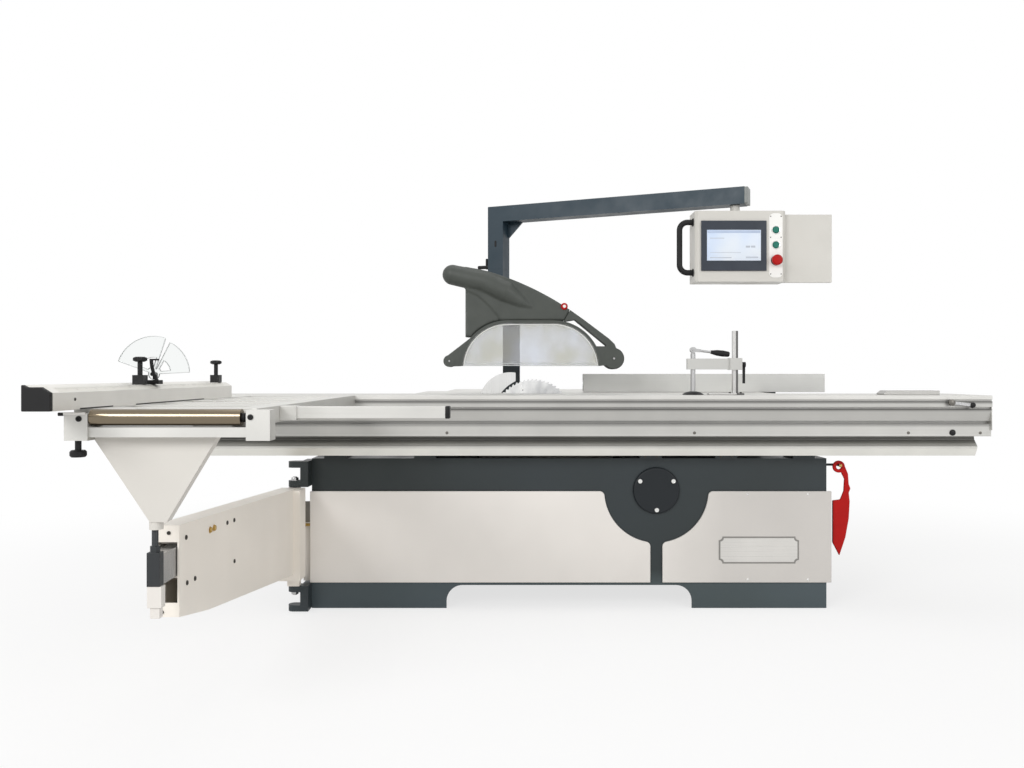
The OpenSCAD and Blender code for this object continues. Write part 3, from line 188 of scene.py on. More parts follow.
def moulded(name, color, rough, grain=700.0, strength=0.25):
    """Moulded plastic with a fine grain and slightly shiny rubbed areas."""
    m = Mat(name, color, rough)
    m.tint(m.noise(14, 4), 0.08)
    m.gloss(m.noise(22, 3), 0.10)
    m.bump(m.noise(grain, 2), strength, 0.0004)
    return m


# Paints
frame_paint = paint("frame_paint", lin(44, 50, 52), 0.46).sheen(0.4)
frame_paint.colored(frame_paint.noise(0.9, 2), lin(38, 44, 43), lin(50, 58, 65))
# Painted light and shade: a lighter copy of the frame paint for the cabinet's frame, kept light at its foot and
# darkened from 0.10 to 0.16 m up
cabinet_frame = paint("cabinet_frame", lin(72, 82, 86), 0.46).sheen(0.4)
cabinet_frame.colored(cabinet_frame.noise(0.9, 2), lin(64, 74, 75), lin(79, 91, 98))
cabinet_frame.shade("Z", ((0.0, 1.0), (0.10, 1.0), (0.16, 0.41), (0.7, 0.37)))
disc_paint = paint("disc_paint", lin(25, 30, 34), 0.5).sheen(0.3)
cover_paint = paint("cover_paint", lin(231, 227, 222), 0.42)
# Lit and shaded copies of the pale paint, as painted light and shade: the cabinet's covers and the swing arm lighter,
# the control panel with its side plate and the triangle support darker. The covers' paint also carries painted shade,
# darker towards the right.
cabinet_paint = paint("cabinet_paint", lin(242, 238, 233), 0.42)
cabinet_paint.shade("X", ((-1.1, 1.0), (0.3, 0.90), (0.55, 0.71), (1.1, 0.67)))
arm_paint = paint("arm_paint", lin(243, 237, 228), 0.42)
panel_paint = paint("panel_paint", lin(207, 205, 199), 0.42)
support_paint = paint("support_paint", lin(209, 206, 200), 0.42)
boom_paint = paint("boom_paint", lin(35, 53, 64), 0.46).sheen(0.4)

# Metals; lit and shaded copies of the alloy paint light and shade: the fence and the rail lighter, the edge shoe
# darker. The beam's and the rail's stops follow the grooves of the profiles and paint shade: dark lines in and below
# the beam's grooves, shade on its faces, and the shadow of the beam's overhang on the rail.
alloy_x = brushed("alloy_x", lin(205, 204, 200), 0.42, "x", 0.85, vary=0.05)
alloy_y = brushed("alloy_y", lin(203, 202, 198), 0.54, "y", 0.85, vary=0.05)
rip_alloy = brushed("rip_alloy", lin(196, 196, 193), 0.5, "x", 0.7, vary=0.04)
fence_alloy = brushed("fence_alloy", lin(226, 224, 219), 0.46, "y", 0.85, vary=0.05)
shoe_alloy = brushed("shoe_alloy", lin(178, 177, 174), 0.45, "x", 0.8, vary=0.05)
beam_alloy = brushed("beam_alloy", lin(205, 204, 200), 0.5, "x", 0.85, vary=0.05)
beam_alloy.shade("Z", ((0.714, 0.6), (0.721, 0.88), (0.725, 0.80), (0.752, 0.80), (0.757, 0.62), (0.763, 0.42),
                       (0.770, 0.50), (0.780, 0.74), (0.788, 0.84), (0.814, 0.82), (0.819, 0.60), (0.8225, 0.36),
                       (0.826, 0.36), (0.831, 0.66), (0.835, 0.76), (0.846, 0.72), (0.850, 0.42), (0.8525, 0.33),
                       (0.857, 0.36), (0.862, 0.80), (0.867, 0.96), (0.882, 1.0)))
rail_alloy = brushed("rail_alloy", lin(228, 227, 221), 0.42, "x", 0.85, vary=0.05)
rail_alloy.shade("Z", ((0.630, 1.0), (0.664, 1.0), (0.668, 0.82), (0.671, 0.60), (0.676, 0.56), (0.680, 0.74),
                       (0.684, 0.66), (0.688, 0.52), (0.692, 0.37), (0.697, 0.34), (0.701, 0.18), (0.704, 0.13),
                       (0.708, 0.25), (0.716, 0.5)))
iron = brushed("cast_iron", lin(211, 210, 206), 0.52, "y", 0.9, 500, 0.06)
steel = brushed("steel", lin(176, 176, 176), 0.32, "z", 1.0, 700, 0.06)
blade_steel = brushed("blade_steel", lin(214, 214, 213), 0.34, "z", 1.0, 400, 0.05, 0.05)
disc_steel = Mat("disc_steel", lin(214, 214, 213), 0.34, 1.0)


def ground_with_painted_sheen(m, axis):
    """Painted reflection: base colour in lighter and darker sectors about an axis along Y through a point, standing
    in for the sheen of a ground disc; fine rings in roughness and bump.
    """
    off = m.node("ShaderNodeVectorMath")
    off.operation = "SUBTRACT"
    m.link(m.co, off.inputs[0])
    off.inputs[1].default_value = axis
    xyz = m.node("ShaderNodeSeparateXYZ")
    m.link(off.outputs["Vector"], xyz.inputs[0])
    angle = m.node("ShaderNodeMath")
    angle.operation = "ARCTAN2"
    m.link(xyz.outputs["Z"], angle.inputs[0])
    m.link(xyz.outputs["X"], angle.inputs[1])
    radius = m.node("ShaderNodeVectorMath")
    radius.operation = "LENGTH"
    m.link(off.outputs["Vector"], radius.inputs[0])
    polar = m.node("ShaderNodeCombineXYZ")
    m.link(angle.outputs[0], polar.inputs["X"])
    m.link(radius.outputs["Value"], polar.inputs["Y"])
    fine = m.node("ShaderNodeMapping", Scale=(1.2, 700, 1))
    m.link(polar.outputs[0], fine.inputs["Vector"])
    wide = m.node("ShaderNodeMapping", Scale=(1.7, 5, 1))
    m.link(polar.outputs[0], wide.inputs["Vector"])
    m.colored(m.noise(1, 3, wide.outputs["Vector"]), lin(192, 193, 195), lin(242, 242, 241), 0.36, 0.64)
    rings = m.noise(1, 2, fine.outputs["Vector"])
    m.gloss(rings, 0.08)
    m.bump(rings, 0.06, 0.0002)


blade_lo, blade_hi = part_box("main_blade")
ground_with_painted_sheen(disc_steel, (blade_lo + blade_hi) / 2)
brass = brushed("brass", lin(190, 160, 96), 0.34, "y", 1.0, 600, 0.08)
# Painted reflection: the roller's chrome is darkened to a brownish grey that stands in for the dark surroundings it
# reflects
chrome = Mat("chrome", lin(128, 117, 100), 0.18, 1.0)
chrome.gloss(chrome.noise(60, 4, chrome.stretched(1, 6, 6)), 0.06)
chrome.bump(chrome.noise(300, 2), 0.03, 0.0002)

# Plastics
black = moulded("black_plastic", lin(18, 18, 19), 0.5).sheen(0.28)
hood_grey = moulded("hood_plastic", lin(69, 73, 69), 0.52).sheen(0.42)
bezel = moulded("bezel_plastic", lin(50, 56, 66), 0.42).sheen(0.3)
red = moulded("red_plastic", lin(176, 14, 12), 0.4, 500, 0.12).sheen(0.2)
green = moulded("green_plastic", lin(22, 112, 96), 0.3, 500, 0.1).sheen(0.3)
rubber = moulded("rubber", lin(32, 32, 32), 0.72, 900, 0.3)

clear = Mat("clear_plastic", lin(230, 230, 227), 0.06)
clear.p.inputs["Transmission Weight"].default_value = 0.82
clear.p.inputs["IOR"].default_value = 1.2
# Painted reflection: soft streaks across the clear plastic, from pale grey to bluer white
clear.colored(clear.noise(1, 2, clear.stretched(8, 3, 6)), lin(230, 230, 225), lin(240, 242, 247), 0.35, 0.65)
clear.gloss(clear.noise(40, 5), 0.04)
clear.bump(clear.noise(120, 3), 0.03, 0.0003)

flag_clear = Mat("flag_plastic", lin(246, 248, 247), 0.05)
flag_clear.p.inputs["Transmission Weight"].default_value = 1.0
flag_clear.p.inputs["IOR"].default_value = 1.22
flag_clear.gloss(flag_clear.noise(40, 5), 0.03)
flag_clear.bump(flag_clear.noise(90, 3), 0.03, 0.0003)

# The arm's post: dark above a height in metres, pale below it
POST_PALE_TOP = 0.4403
post_paint = paint("post_paint", lin(34, 38, 41), 0.46)
height = post_paint.node("ShaderNodeSeparateXYZ")
post_paint.link(post_paint.co, height.inputs[0])
low_part = post_paint.node("ShaderNodeMath")
low_part.operation = "LESS_THAN"
low_part.inputs[1].default_value = POST_PALE_TOP
post_paint.link(height.outputs["Z"], low_part.inputs[0])
two_tone = post_paint.node("ShaderNodeMix")
two_tone.data_type = "RGBA"
post_paint.link(low_part.outputs[0], two_tone.inputs["Factor"])
post_paint.link(post_paint.p.inputs["Base Color"].links[0].from_socket, two_tone.inputs["A"])
pale = cover_paint.color
worn = (*[c * 0.93 for c in pale[:3]], 1)
post_paint.link(post_paint.ramp(post_paint.noise(6, 3), worn, pale), two_tone.inputs["B"])
post_paint.link(two_tone.outputs["Result"], post_paint.p.inputs["Base Color"])

clamp_grey = paint("clamp_grey", lin(200, 200, 197), 0.42)
post_steel = brushed("post_steel", lin(206, 205, 203), 0.34, "z", 1.0, 700, 0.06)
# Painted shade: the clamp post turns dark on its right side, just right of its axis
post_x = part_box("clamp_post")[1].x - 0.034    # the post's axis
post_steel.shade("X", [(post_x + dx, level) for dx, level in ((-0.011, 0.9), (0.0005, 0.85), (0.003, 0.16),
                                                              (0.011, 0.2))])

# Fittings
chrome_w = Mat("bright_plating", lin(232, 232, 230), 0.2, 0.9)
chrome_w.gloss(chrome_w.noise(90, 3), 0.06)
chrome_w.bump(chrome_w.noise(400, 2), 0.05, 0.0002)
rim_white = moulded("guard_rim", lin(228, 229, 226), 0.3, 600, 0.05)
flag_edge = moulded("flag_edge", lin(208, 211, 211), 0.3, 600, 0.05)
plate_silver = brushed("plate_silver", lin(212, 210, 206), 0.36, "x", 0.55, 1400, 0.05)
plate_edge = brushed("plate_edge", lin(138, 136, 132), 0.4, "x", 0.6, 1400, 0.06)
label_white = paint("label_white", lin(240, 239, 236), 0.35, 400)
tape = paint("scale_tape", lin(226, 224, 216), 0.4, 500)
ink = moulded("scale_ink", lin(40, 40, 42), 0.5, 900, 0.05)
dark_screw = brushed("dark_screw", lin(70, 68, 64), 0.4, "z", 0.9, 800, 0.1)
grey_screw = brushed("grey_screw", lin(112, 109, 104), 0.4, "z", 0.9, 800, 0.1)
cap_grey = moulded("cap_plastic", lin(128, 132, 130), 0.45)
glass = Mat("screen_glass", lin(206, 217, 235), 0.32).sheen(0.25)
glass.colored(glass.noise(4.5, 2), lin(204, 221, 247), lin(231, 238, 246), 0.35, 0.65)
glass.gloss(glass.noise(30, 4), 0.03)
screen_bar = moulded("screen_bar", lin(184, 199, 224), 0.32, 900, 0.02).sheen(0.25)
screen_mark = moulded("screen_mark", lin(190, 197, 208), 0.32, 900, 0.02).sheen(0.25)

slot_mats = {
    "frame_paint": frame_paint, "cover_paint": cover_paint, "aluminium": alloy_x, "cast_iron": iron,
    "steel": steel, "chrome": chrome, "black_plastic": black, "hood_plastic": hood_grey,
    "clear_plastic": clear, "red_plastic": red, "green_plastic": green, "rubber": rubber,
}
own_mats = {
    "crosscut_frame": alloy_y, "fence_profile": fence_alloy, "rip_fence_profile": rip_alloy,
    "base_frame": cabinet_frame, "cover_panels": cabinet_paint, "round_cover": disc_paint, "swing_arm": arm_paint,
    "table_beam": beam_alloy, "slide_rail": rail_alloy, "panel_box": panel_paint,
    "side_plate": panel_paint, "triangle_support": support_paint, "touch_screen": bezel,
    "edge_shoe": shoe_alloy, "main_blade": disc_steel, "scoring_saw": blade_steel, "riving_knife": blade_steel,
    "control_arm": boom_paint, "pillar_socket": boom_paint, "arm_post": post_paint, "clear_flags": flag_clear,
    "clamp_arm": clamp_grey, "clamp_post": post_steel, "clamp_pad": black,
}
for sub in frame["record"]["subparts"]:
    ob = nodes[sub["node"]]
    ob.data.materials.clear()
    ob.data.materials.append(own_mats.get(sub["node"], slot_mats[sub["material_slot"]]).m)


# Softened edges on the sheet metal and the castings, with each bevel's width in mm

WELD_GAP = 0.02 * MM


def soften(name, width):
    ob = nodes[name]
    weld = ob.modifiers.new("weld", "WELD")
    weld.merge_threshold = WELD_GAP
    flat = ob.modifiers.new("flat", "DECIMATE")
    flat.decimate_type = "DISSOLVE"
    flat.angle_limit = math.radians(1)
    bev = ob.modifiers.new("edge", "BEVEL")
    bev.width = width * MM
    bev.segments = 2
    bev.limit_method = "ANGLE"
    bev.angle_limit = math.radians(35)
    bev.harden_normals = True


edge_widths = {
    "cover_panels": 3, "round_cover": 4, "panel_box": 3, "control_arm": 4, "pillar_socket": 3, "guard_post": 3,
    "clamp_arm": 2, "clamp_post": 2, "touch_screen": 2, "rip_fence_profile": 1, "edge_shoe": 2, "push_stick": 3,
    "support_bar": 1, "side_plate": 0.8, "arm_post": 2, "post_lever": 2, "fence_end_cap": 2,
}
for name, width in edge_widths.items():
    soften(name, width)


# Builders for the small fittings

def at(x, y, z):
    """Millimetres, with Y counted from the sliding table's front face, to metres in the model's frame."""
    return Vector((x * MM, y * MM + FRONT, z * MM))


def facing(spot, axis, turn=0.0):
    """Placement whose local Z points along axis at a spot."""
    rot = Vector(axis).to_track_quat("Z", "Y").to_matrix().to_4x4()
    return Matrix.Translation(spot) @ rot @ Matrix.Rotation(math.radians(turn), 4, "Z")


def lathe(bm, profile, place, n=24):
    """Spins (radius, height) points in mm about local Z into a closed mesh.

    A third value makes that ring a polygon of so many sides. A profile that starts off the axis closes on itself.
    """
    rings = []
    for r, h, *sides in profile:
        if r == 0:
            rings.append([bm.verts.new(place @ Vector((0, 0, h * MM)))])
            continue
        ring = []
        for i in range(n):
            a = 2 * math.pi * i / n
            q = r
            if sides:
                step = 2 * math.pi / sides[0]
                q = r * math.cos(step / 2) / math.cos(a % step - step / 2)
            ring.append(bm.verts.new(place @ Vector((q * MM * math.cos(a), q * MM * math.sin(a), h * MM))))
        rings.append(ring)
    if len(rings[0]) > 1:
        rings.append(rings[0])
    elif len(rings[-1]) > 1:
        bm.faces.new(rings[-1])
    for a, b in zip(rings, rings[1:]):
        for i in range(n):
            j = (i + 1) % n
            if len(a) == 1:
                bm.faces.new((a[0], b[i], b[j]))
            elif len(b) == 1:
                bm.faces.new((a[i], b[0], a[j]))
            else:
                bm.faces.new((a[i], b[i], b[j], a[j]))


def slab(bm, lo, hi, r=0.6):
    """Adds a box between two corners in metres with its edges rounded by r mm."""
    made = bmesh.ops.create_cube(bm, size=1)["verts"]
    size = Vector(hi) - Vector(lo)
    mid = (Vector(hi) + Vector(lo)) / 2
    for v in made:
        v.co = Vector(c * s for c, s in zip(v.co, size)) + mid
    edges = list({e for v in made for e in v.link_edges})
    bmesh.ops.bevel(bm, geom=edges, offset=r * MM, segments=2, affect="EDGES", profile=0.5)


SHARP_FROM = math.radians(32)


def piece(name, bm, mat, body, smooth=True):
    """Turns a bmesh into a piece that rides on a body and takes its finish from a slot."""
    bmesh.ops.recalc_face_normals(bm, faces=bm.faces)
    me = bpy.data.meshes.new(name)
    bm.to_mesh(me)
    bm.free()
    return settle(name, me, mat, body, smooth)


def settle(name, me, mat, body, smooth=True):
    """Turns a mesh into a piece."""
    me.materials.append(mat.m)
    if smooth:
        me.shade_smooth()
        me.set_sharp_from_angle(angle=SHARP_FROM)
    ob = bpy.data.objects.new(name, me)
    bpy.context.scene.collection.objects.link(ob)
    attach(ob, body)
    return ob


def slabs(name, boxes, r, mat, body):
    """One piece of rounded boxes, each given by two corners in metres."""
    bm = bmesh.new()
    for lo, hi in boxes:
        slab(bm, lo, hi, r)
    return piece(name, bm, mat, body)


def circle(x, y, r, n=32):
    return [(x + r * math.cos(2 * math.pi * i / n), y + r * math.sin(2 * math.pi * i / n)) for i in range(n)]


def round_rect(w, h, r, hollow=False, n=8):
    """Outline with round corners, or with corners scooped inwards."""
    pts = []
    for sx, sy, a0 in ((1, 1, 0), (-1, 1, 90), (-1, -1, 180), (1, -1, 270)):
        for i in range(n + 1):
            t = math.radians(a0 + 90 * i / n)
            if hollow:
                t = math.radians(a0 + 270 - 90 * i / n)
                pts.append((sx * w / 2 + r * math.cos(t), sy * h / 2 + r * math.sin(t)))
            else:
                pts.append((sx * (w / 2 - r) + r * math.cos(t), sy * (h / 2 - r) + r * math.sin(t)))
    return pts


def cut_plate(name, outlines, t, place, mat, body, bevel=0.3):
    """Plate from one outline and the holes in it, in mm on local XY, with t mm of thickness above the place."""
    cu = bpy.data.curves.new(name, "CURVE")
    cu.dimensions = "2D"
    cu.fill_mode = "BOTH"
    cu.extrude = (t / 2 - bevel) * MM
    cu.bevel_depth = bevel * MM
    cu.bevel_resolution = 1
    cu.offset = -bevel * MM
    for pts in outlines:
        sp = cu.splines.new("POLY")
        sp.points.add(len(pts) - 1)
        for p, (x, y) in zip(sp.points, pts):
            p.co = (x * MM, y * MM, 0, 1)
        sp.use_cyclic_u = True
    tmp = bpy.data.objects.new(name, cu)
    bpy.context.scene.collection.objects.link(tmp)
    dg = bpy.context.evaluated_depsgraph_get()
    me = bpy.data.meshes.new_from_object(tmp.evaluated_get(dg))
    bpy.data.objects.remove(tmp)
    bpy.data.curves.remove(cu)
    me.name = name
    me.transform(place @ Matrix.Translation((0, 0, t / 2 * MM)))
    me.materials.clear()
    return settle(name, me, mat, body)


def cap_screw(r, h):
    """Profile of a socket head screw."""
    return [(0, h * 0.35), (r * 0.45, h * 0.35, 6), (r * 0.5, h, 6), (r * 0.86, h), (r, h * 0.8), (r, -0.4)]


def pan_screw(r, h):
    """Profile of a slotted round head."""
    return [(0, h * 0.6), (r * 0.3, h * 0.6), (r * 0.36, h), (r * 0.7, h * 0.9), (r * 0.95, h * 0.4), (r, -0.2)]


def hex_head(r, h):
    """Profile of a hexagon head on its washer."""
    return [(0, h), (r * 0.8, h), (r, h * 0.86, 6), (r, 0.6, 6), (r * 1.25, 0.6), (r * 1.25, -0.2)]


def hex_nut(r, h, stud):
    """Profile of a nut on its washer, with the end of the stud in it."""
    return [(0, h + 4.5), (stud, h + 3), (stud, h), (r * 0.86, h), (r, h * 0.85, 6), (r, 1.6, 6), (r * 1.35, 1.6),
            (r * 1.35, -0.2)]


def row(name, spots, axis, profile, mat, body, n=24):
    """One piece of equal turned fittings, each a little further round than the last."""
    bm = bmesh.new()
    for i, spot in enumerate(spots):
        lathe(bm, profile, facing(spot, axis, 17 * i), n)
    return piece(name, bm, mat, body)


# Cabinet front
cover_x, cover_z, screw_ring = 273, 486, 79
row("round_cover_screws",
    [at(cover_x + screw_ring * math.cos(math.radians(a)), 101, cover_z + screw_ring * math.sin(math.radians(a)))
     for a in (30, 150, 270)],
    FACE, cap_screw(9.5, 8), chrome_w, "base")
row("cover_panel_screws", [at(x, 105, z) for x in (648, 896) for z in (471, 120)],
    FACE, pan_screw(5, 2.4), chrome_w, "base")
plate_x, plate_z, border_t = 694, 241.5, 1.2
cut_plate("name_plate_border", [round_rect(330, 111, 15, True)], border_t, facing(at(plate_x, 105, plate_z), FACE),
          plate_edge, "base")
cut_plate("name_plate", [round_rect(317, 98, 14, True)], 0.8, facing(at(plate_x, 105 - border_t, plate_z), FACE),
          plate_silver, "base")

# Cabinet sides and hinge
nut = hex_nut(15, 12, 9)
row("hinge_nuts_low", [at(-1207, 70, 82)], DOWN, nut, steel, "base")
row("hinge_nuts_high", [at(-1207, 70, 533)], UP, nut, steel, "base")
row("bracket_bolts", [at(-1150, 145, z) for z in (32, 79, 536, 583)], LEFT, hex_head(8, 6), steel, "base")
row("rail_pad_bolts", [at(x + d, 105, 628) for x in (250, 560) for d in (-24, 24)], FACE, hex_head(5, 4), dark_screw,
    "base")
slabs("stop_strip_low", [(at(-1184, 121, 112), at(-1147, 126, 352))], 1.2, cover_paint, "base")
slabs("stop_strip_high", [(at(-1184, 121, 353), at(-1147, 126, 440))], 1.2, plate_edge, "base")
row("stop_bolt", [at(-1146, 112, 345)], LEFT, [(0, 38), (8, 38), (9.5, 36.5), (9.5, 27), (6, 26.5), (6, -1)],
    brass, "base", 6)
row("hook_end", [at(1033, 116, 587.7)], FACE, [(0, 9), (4, 8), (6.5, 5), (6.5, 1), (5, -1)], brass, "base")

# Sliding table
row("beam_screws", [at(x, 10, 730) for x in (-1457, -583, 410, 1268, 1556)], FACE, cap_screw(6, 1.4), grey_screw,
    "sliding_table")
slabs("beam_end_plates", [(at(x0, 0.3, 741), at(x1, 37, 835)) for x0, x1 in ((-1599.8, -1597), (1597, 1599.8))], 0.5,
      alloy_x, "sliding_table")
row("beam_plug", [at(1445, 10, 731)], FACE, [(0, 6), (6, 6), (10.5, 4.5), (12.5, 1.5), (12.5, -0.5)], black,
    "sliding_table", 32)
slabs("support_bar_cap", [(at(-503.5, -1161, 844), at(-491, -1124, 878))], 2.5, black, "sliding_table")
row("outrigger_screws", [at(-1367, -1429.5, 857), at(-953, -1429.5, 861)], FACE,
    cap_screw(7, 3), black, "sliding_table")
row("roller_collar", [at(-978, -1409, 859.5)], RIGHT, [(8, 0), (11, 0), (11, 7), (9, 8.5), (9, 13), (8, 13)], black,
    "sliding_table")
ball_r = 12
ball = [(ball_r * math.cos(math.radians(a)), ball_r * math.sin(math.radians(a))) for a in range(75, -90, -15)]
row("lock_ball", [at(1513.4, -13.5, 841.8)], FACE, [(0, ball_r), *ball, (0, -ball_r)], black, "lock_lever")
row("lock_boss", [at(1430, -20, 852)], FACE, [(0, 2.6), (8, 2.4), (12.6, 0), (12.6, -11)], grey_screw, "lock_lever")
# Painted shadow: thin black strips under the fence stand in for the shadow in the gap between the fence and the
# outrigger
slabs("fence_gap_shadow_strips",
      [(at(-1361.4, y0, 880.5), at(-1360.3, y1, 883.5)) for y0, y1 in ((-1435, -1256), (-1113, -564))], 0.3,
      black, "mitre_fence")
row("fence_pin", [at(-1361, -1460, 905)], RIGHT, pan_screw(4, 2), dark_screw, "mitre_fence")
slabs("outrigger_strap", [(at(-1403.5, -1434, 866.5), at(-1350, -1429.3, 873))], 1, plate_silver, "sliding_table")
slabs("outrigger_strap_end", [(at(-1416, -1435, 864), at(-1402.5, -1429.3, 872.5))], 2, black, "sliding_table")
row("clamp_foot_screws", [at(x, 135, 887) for x in (582, 628)], UP, cap_screw(5, 4), dark_screw, "sliding_table")

# Swing arm
arm_spots = ((-1213, 532), (-868, 514), (-800, 511), (-798, 383), (-1146, 408), (-1206, 410))
row("arm_screws", [at(-1187, y, z) for y, z in arm_spots], RIGHT, cap_screw(6.5, 3), dark_screw, "swing_arm")
row("arm_brass_bolts", [at(-1187, y, 519) for y in (-1022, -988)], RIGHT, hex_head(8, 6), brass, "swing_arm")
row("arm_end_screws", [at(-1214, -1260, 552), at(-1232, -1260, 346)], FACE, cap_screw(5, 3), dark_screw, "swing_arm")

# Guard
row("guard_bolts", [at(-597, 346, 1023)], FACE, cap_screw(4.6, 4), steel, "guard")
row("roller_bolt", [at(125, 343, 1034)], FACE, cap_screw(4.8, 3), steel, "hold_down_roller")
row("knob_cap", [at(-93, 330, 1262)], FACE, [(0, 2.2), (4, 2), (6.5, 1), (7, -0.5)], label_white, "hood_knob")


def seg_dist(p, a, b):
    """Distance from p to segment ab and the share of ab at the nearest point."""
    ab = b - a
    t = max(0.0, min(1.0, (p - a).dot(ab) / ab.length_squared))
    return (p - a - ab * t).length, t


def smooth_step(x, lo, hi):
    """0 below lo, 1 above hi, and an even rise between them."""
    t = max(0.0, min(1.0, (x - lo) / (hi - lo)))
    return t * t * (3 - 2 * t)


def smooth_min(a, b, k):
    """The lesser of a and b, blended where they are within k."""
    h = max(0.0, min(1.0, 0.5 + 0.5 * (b - a) / k))
    return b + (a - b) * h - k * h * (1 - h)


def arc_pts(cx, cz, r, a0, a1, n):
    """Points of an arc from angle a0 to a1 in degrees."""
    turns = [math.radians(a0 + (a1 - a0) * i / n) for i in range(n + 1)]
    return [(cx + r * math.cos(t), cz + r * math.sin(t)) for t in turns]


def bead(bm, pts, r, n=8):
    """Adds a round bead of radius r mm along points on one XZ plane."""
    rings = []
    for i, p in enumerate(pts):
        run = (pts[min(i + 1, len(pts) - 1)] - pts[max(i - 1, 0)]).normalized()
        out = run.cross(Vector((0, 1, 0)))
        rings.append([bm.verts.new(p + (out * math.cos(a) + Vector((0, 1, 0)) * math.sin(a)) * r * MM)
                      for a in (2 * math.pi * k / n for k in range(n))])
    for a, b in zip(rings, rings[1:]):
        for k in range(n):
            bm.faces.new((a[k], b[k], b[(k + 1) % n], a[(k + 1) % n]))
    for end in (rings[0], rings[-1]):
        bm.faces.new(end)


def hood_skin():
    """Moulded hood: an outline in mm on XZ, filled, with its front and back pushed out by the duct and the recess."""
    mid_y, front_out, back_out = 368, 28, 82    # parting plane, and how far the body stands out from it
    body_x = -527                               # left end of the body; only the duct goes further left
    lip_r = 9.0
    outline = [(body_x, 1129.5), (-501, 1129.5)] + arc_pts(-340, 990, 212.3, 138.8, 90, 14)
    outline += [(-140, 1202.3), (-92.5, 1202.3), (-69, 1245.5), (-70, 1250)]
    outline += arc_pts(-786.5, 189, 1279.7, 56.05, 72.6, 24)
    outline += [(-430, 1418), (-468, 1426.5), (-505, 1433)]
    outline += arc_pts(-584, 1403, 43.8, 77, 257, 24)
    outline += [(-560, 1352.4), (-534, 1346.4), (-528.5, 1342), (body_x, 1336)]
    pts = []
    for a, b in zip(outline, outline[1:] + outline[:1]):
        a, b = Vector(a), Vector(b)
        n = max(1, round((b - a).length / 9))
        pts += [a + (b - a) * (i / n) for i in range(n)]
    rim = list(zip(pts, pts[1:] + pts[:1]))
    duct = [Vector(q) for q in ((-584, 1403), (-441, 1371), (-350, 1327), (-285, 1285), (-240, 1262))]
    duct_r = (44, 47, 48, 28, 8)
    duct_y = (364, 357, 355, 350, 343)
    groove = [Vector(q) for q in ((body_x, 1334), (-512, 1331), (-472, 1313), (-436, 1282), (-409, 1255),
                                  (-387, 1228), (-369, 1203))]

    def inside(p):
        hit = False
        for a, b in rim:
            if (a.y > p.y) != (b.y > p.y) and p.x < (b.x - a.x) * (p.y - a.y) / (b.y - a.y) + a.x:
                hit = not hit
        return hit

    def rim_gap(p):
        return min(seg_dist(p, a, b)[0] for a, b in rim)

    # Points to fill the outline with, each with the least distance to the rim: rows along the rim, then a grid
    extra = []
    for a, b in rim:
        m = (a + b) / 2
        d = (b - a).normalized()
        for step in (1.0, 2.6, 5.0, 8.0):
            extra.append((m + Vector((-d.y, d.x)) * step, step * 0.8))
    for i in range(105):
        for j in range(62):
            q = Vector((-626 + i * 5.5 + (2.7 if j % 2 else 0), 1132 + j * 5.2))
            extra.append((q, 9.5))
    loose = [p for p, gap in extra if inside(p) and rim_gap(p) >= gap]
    made = delaunay_2d_cdt(pts + loose, [], [list(range(len(pts)))], 1, 1e-4)
    verts, faces = made[0], made[2]

    def push(p):
        """Front and back of the hood at a point of the outline."""
        body = smooth_step(p.x, body_x - 5, body_x + 5)
        lip = lip_r - math.sqrt(lip_r * lip_r - (lip_r - min(rim_gap(p), lip_r)) ** 2)
        front = mid_y - front_out * body + lip * body
        back = mid_y + back_out * body - lip * body
        best = None
        for i in range(len(duct) - 1):
            q, t = seg_dist(p, duct[i], duct[i + 1])
            rr = duct_r[i] + (duct_r[i + 1] - duct_r[i]) * t
            yy = duct_y[i] + (duct_y[i + 1] - duct_y[i]) * t
            if best is None or q - rr < best[0]:
                best = (q - rr, q, rr, yy)
        gone, q, rr, yy = best
        bulge = math.sqrt(max(rr * rr - q * q, 0))
        tube_front = yy - bulge + max(gone, 0) * 3
        side = min((seg_dist(p, a, b)[0], -1 if (b - a).cross(p - a) < 0 else 1) for a, b in zip(groove, groove[1:]))
        low = side[0] * side[1]
        front += 6 * smooth_step(-low, 0, 5) * body
        if p.x < body_x - 3:
            return min(front, yy - bulge), max(back, mid_y + bulge)
        return smooth_min(front, tube_front, 3), max(back, mid_y + bulge if p.x < -500 else back)

    bm = bmesh.new()
    fronts, backs = [], []
    for v in verts:
        f, b = push(v)
        fronts.append(bm.verts.new(at(v.x, f, v.y)))
        backs.append(bm.verts.new(at(v.x, b, v.y)))
    used = {}
    for tri in faces:
        bm.faces.new([fronts[i] for i in tri])
        bm.faces.new([backs[i] for i in reversed(tri)])
        for a, b in zip(tri, tri[1:] + tri[:1]):
            used.setdefault(frozenset((a, b)), []).append((a, b))
    for pair in used.values():
        if len(pair) == 1:
            a, b = pair[0]
            bm.faces.new((fronts[b], fronts[a], backs[a], backs[b]))
    bmesh.ops.remove_doubles(bm, verts=bm.verts, dist=0.0002)
    bmesh.ops.dissolve_degenerate(bm, edges=bm.edges, dist=0.00005)
    ob = piece("hood_skin", bm, hood_grey, "guard")
    ob.data.set_sharp_from_angle(angle=math.radians(50))
    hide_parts("hood_shell")


hood_skin()

bm = bmesh.new()
arc = arc_pts(-140, 990, 193, 4, 90, 30) + arc_pts(-340, 990, 193, 90, 176, 30)
bead(bm, [at(x, 346.5, z) for x, z in arc], 2.3)
piece("guard_rim", bm, rim_white, "guard")
bm = bmesh.new()
bead(bm, [at(x, 346.8, 1004) for x in (56, -240, -536)], 1.5)
bead(bm, [at(x, 346.8, 1013) for x in (50, -240, -530)], 1.0)
piece("guard_foot_lines", bm, flag_edge, "guard")


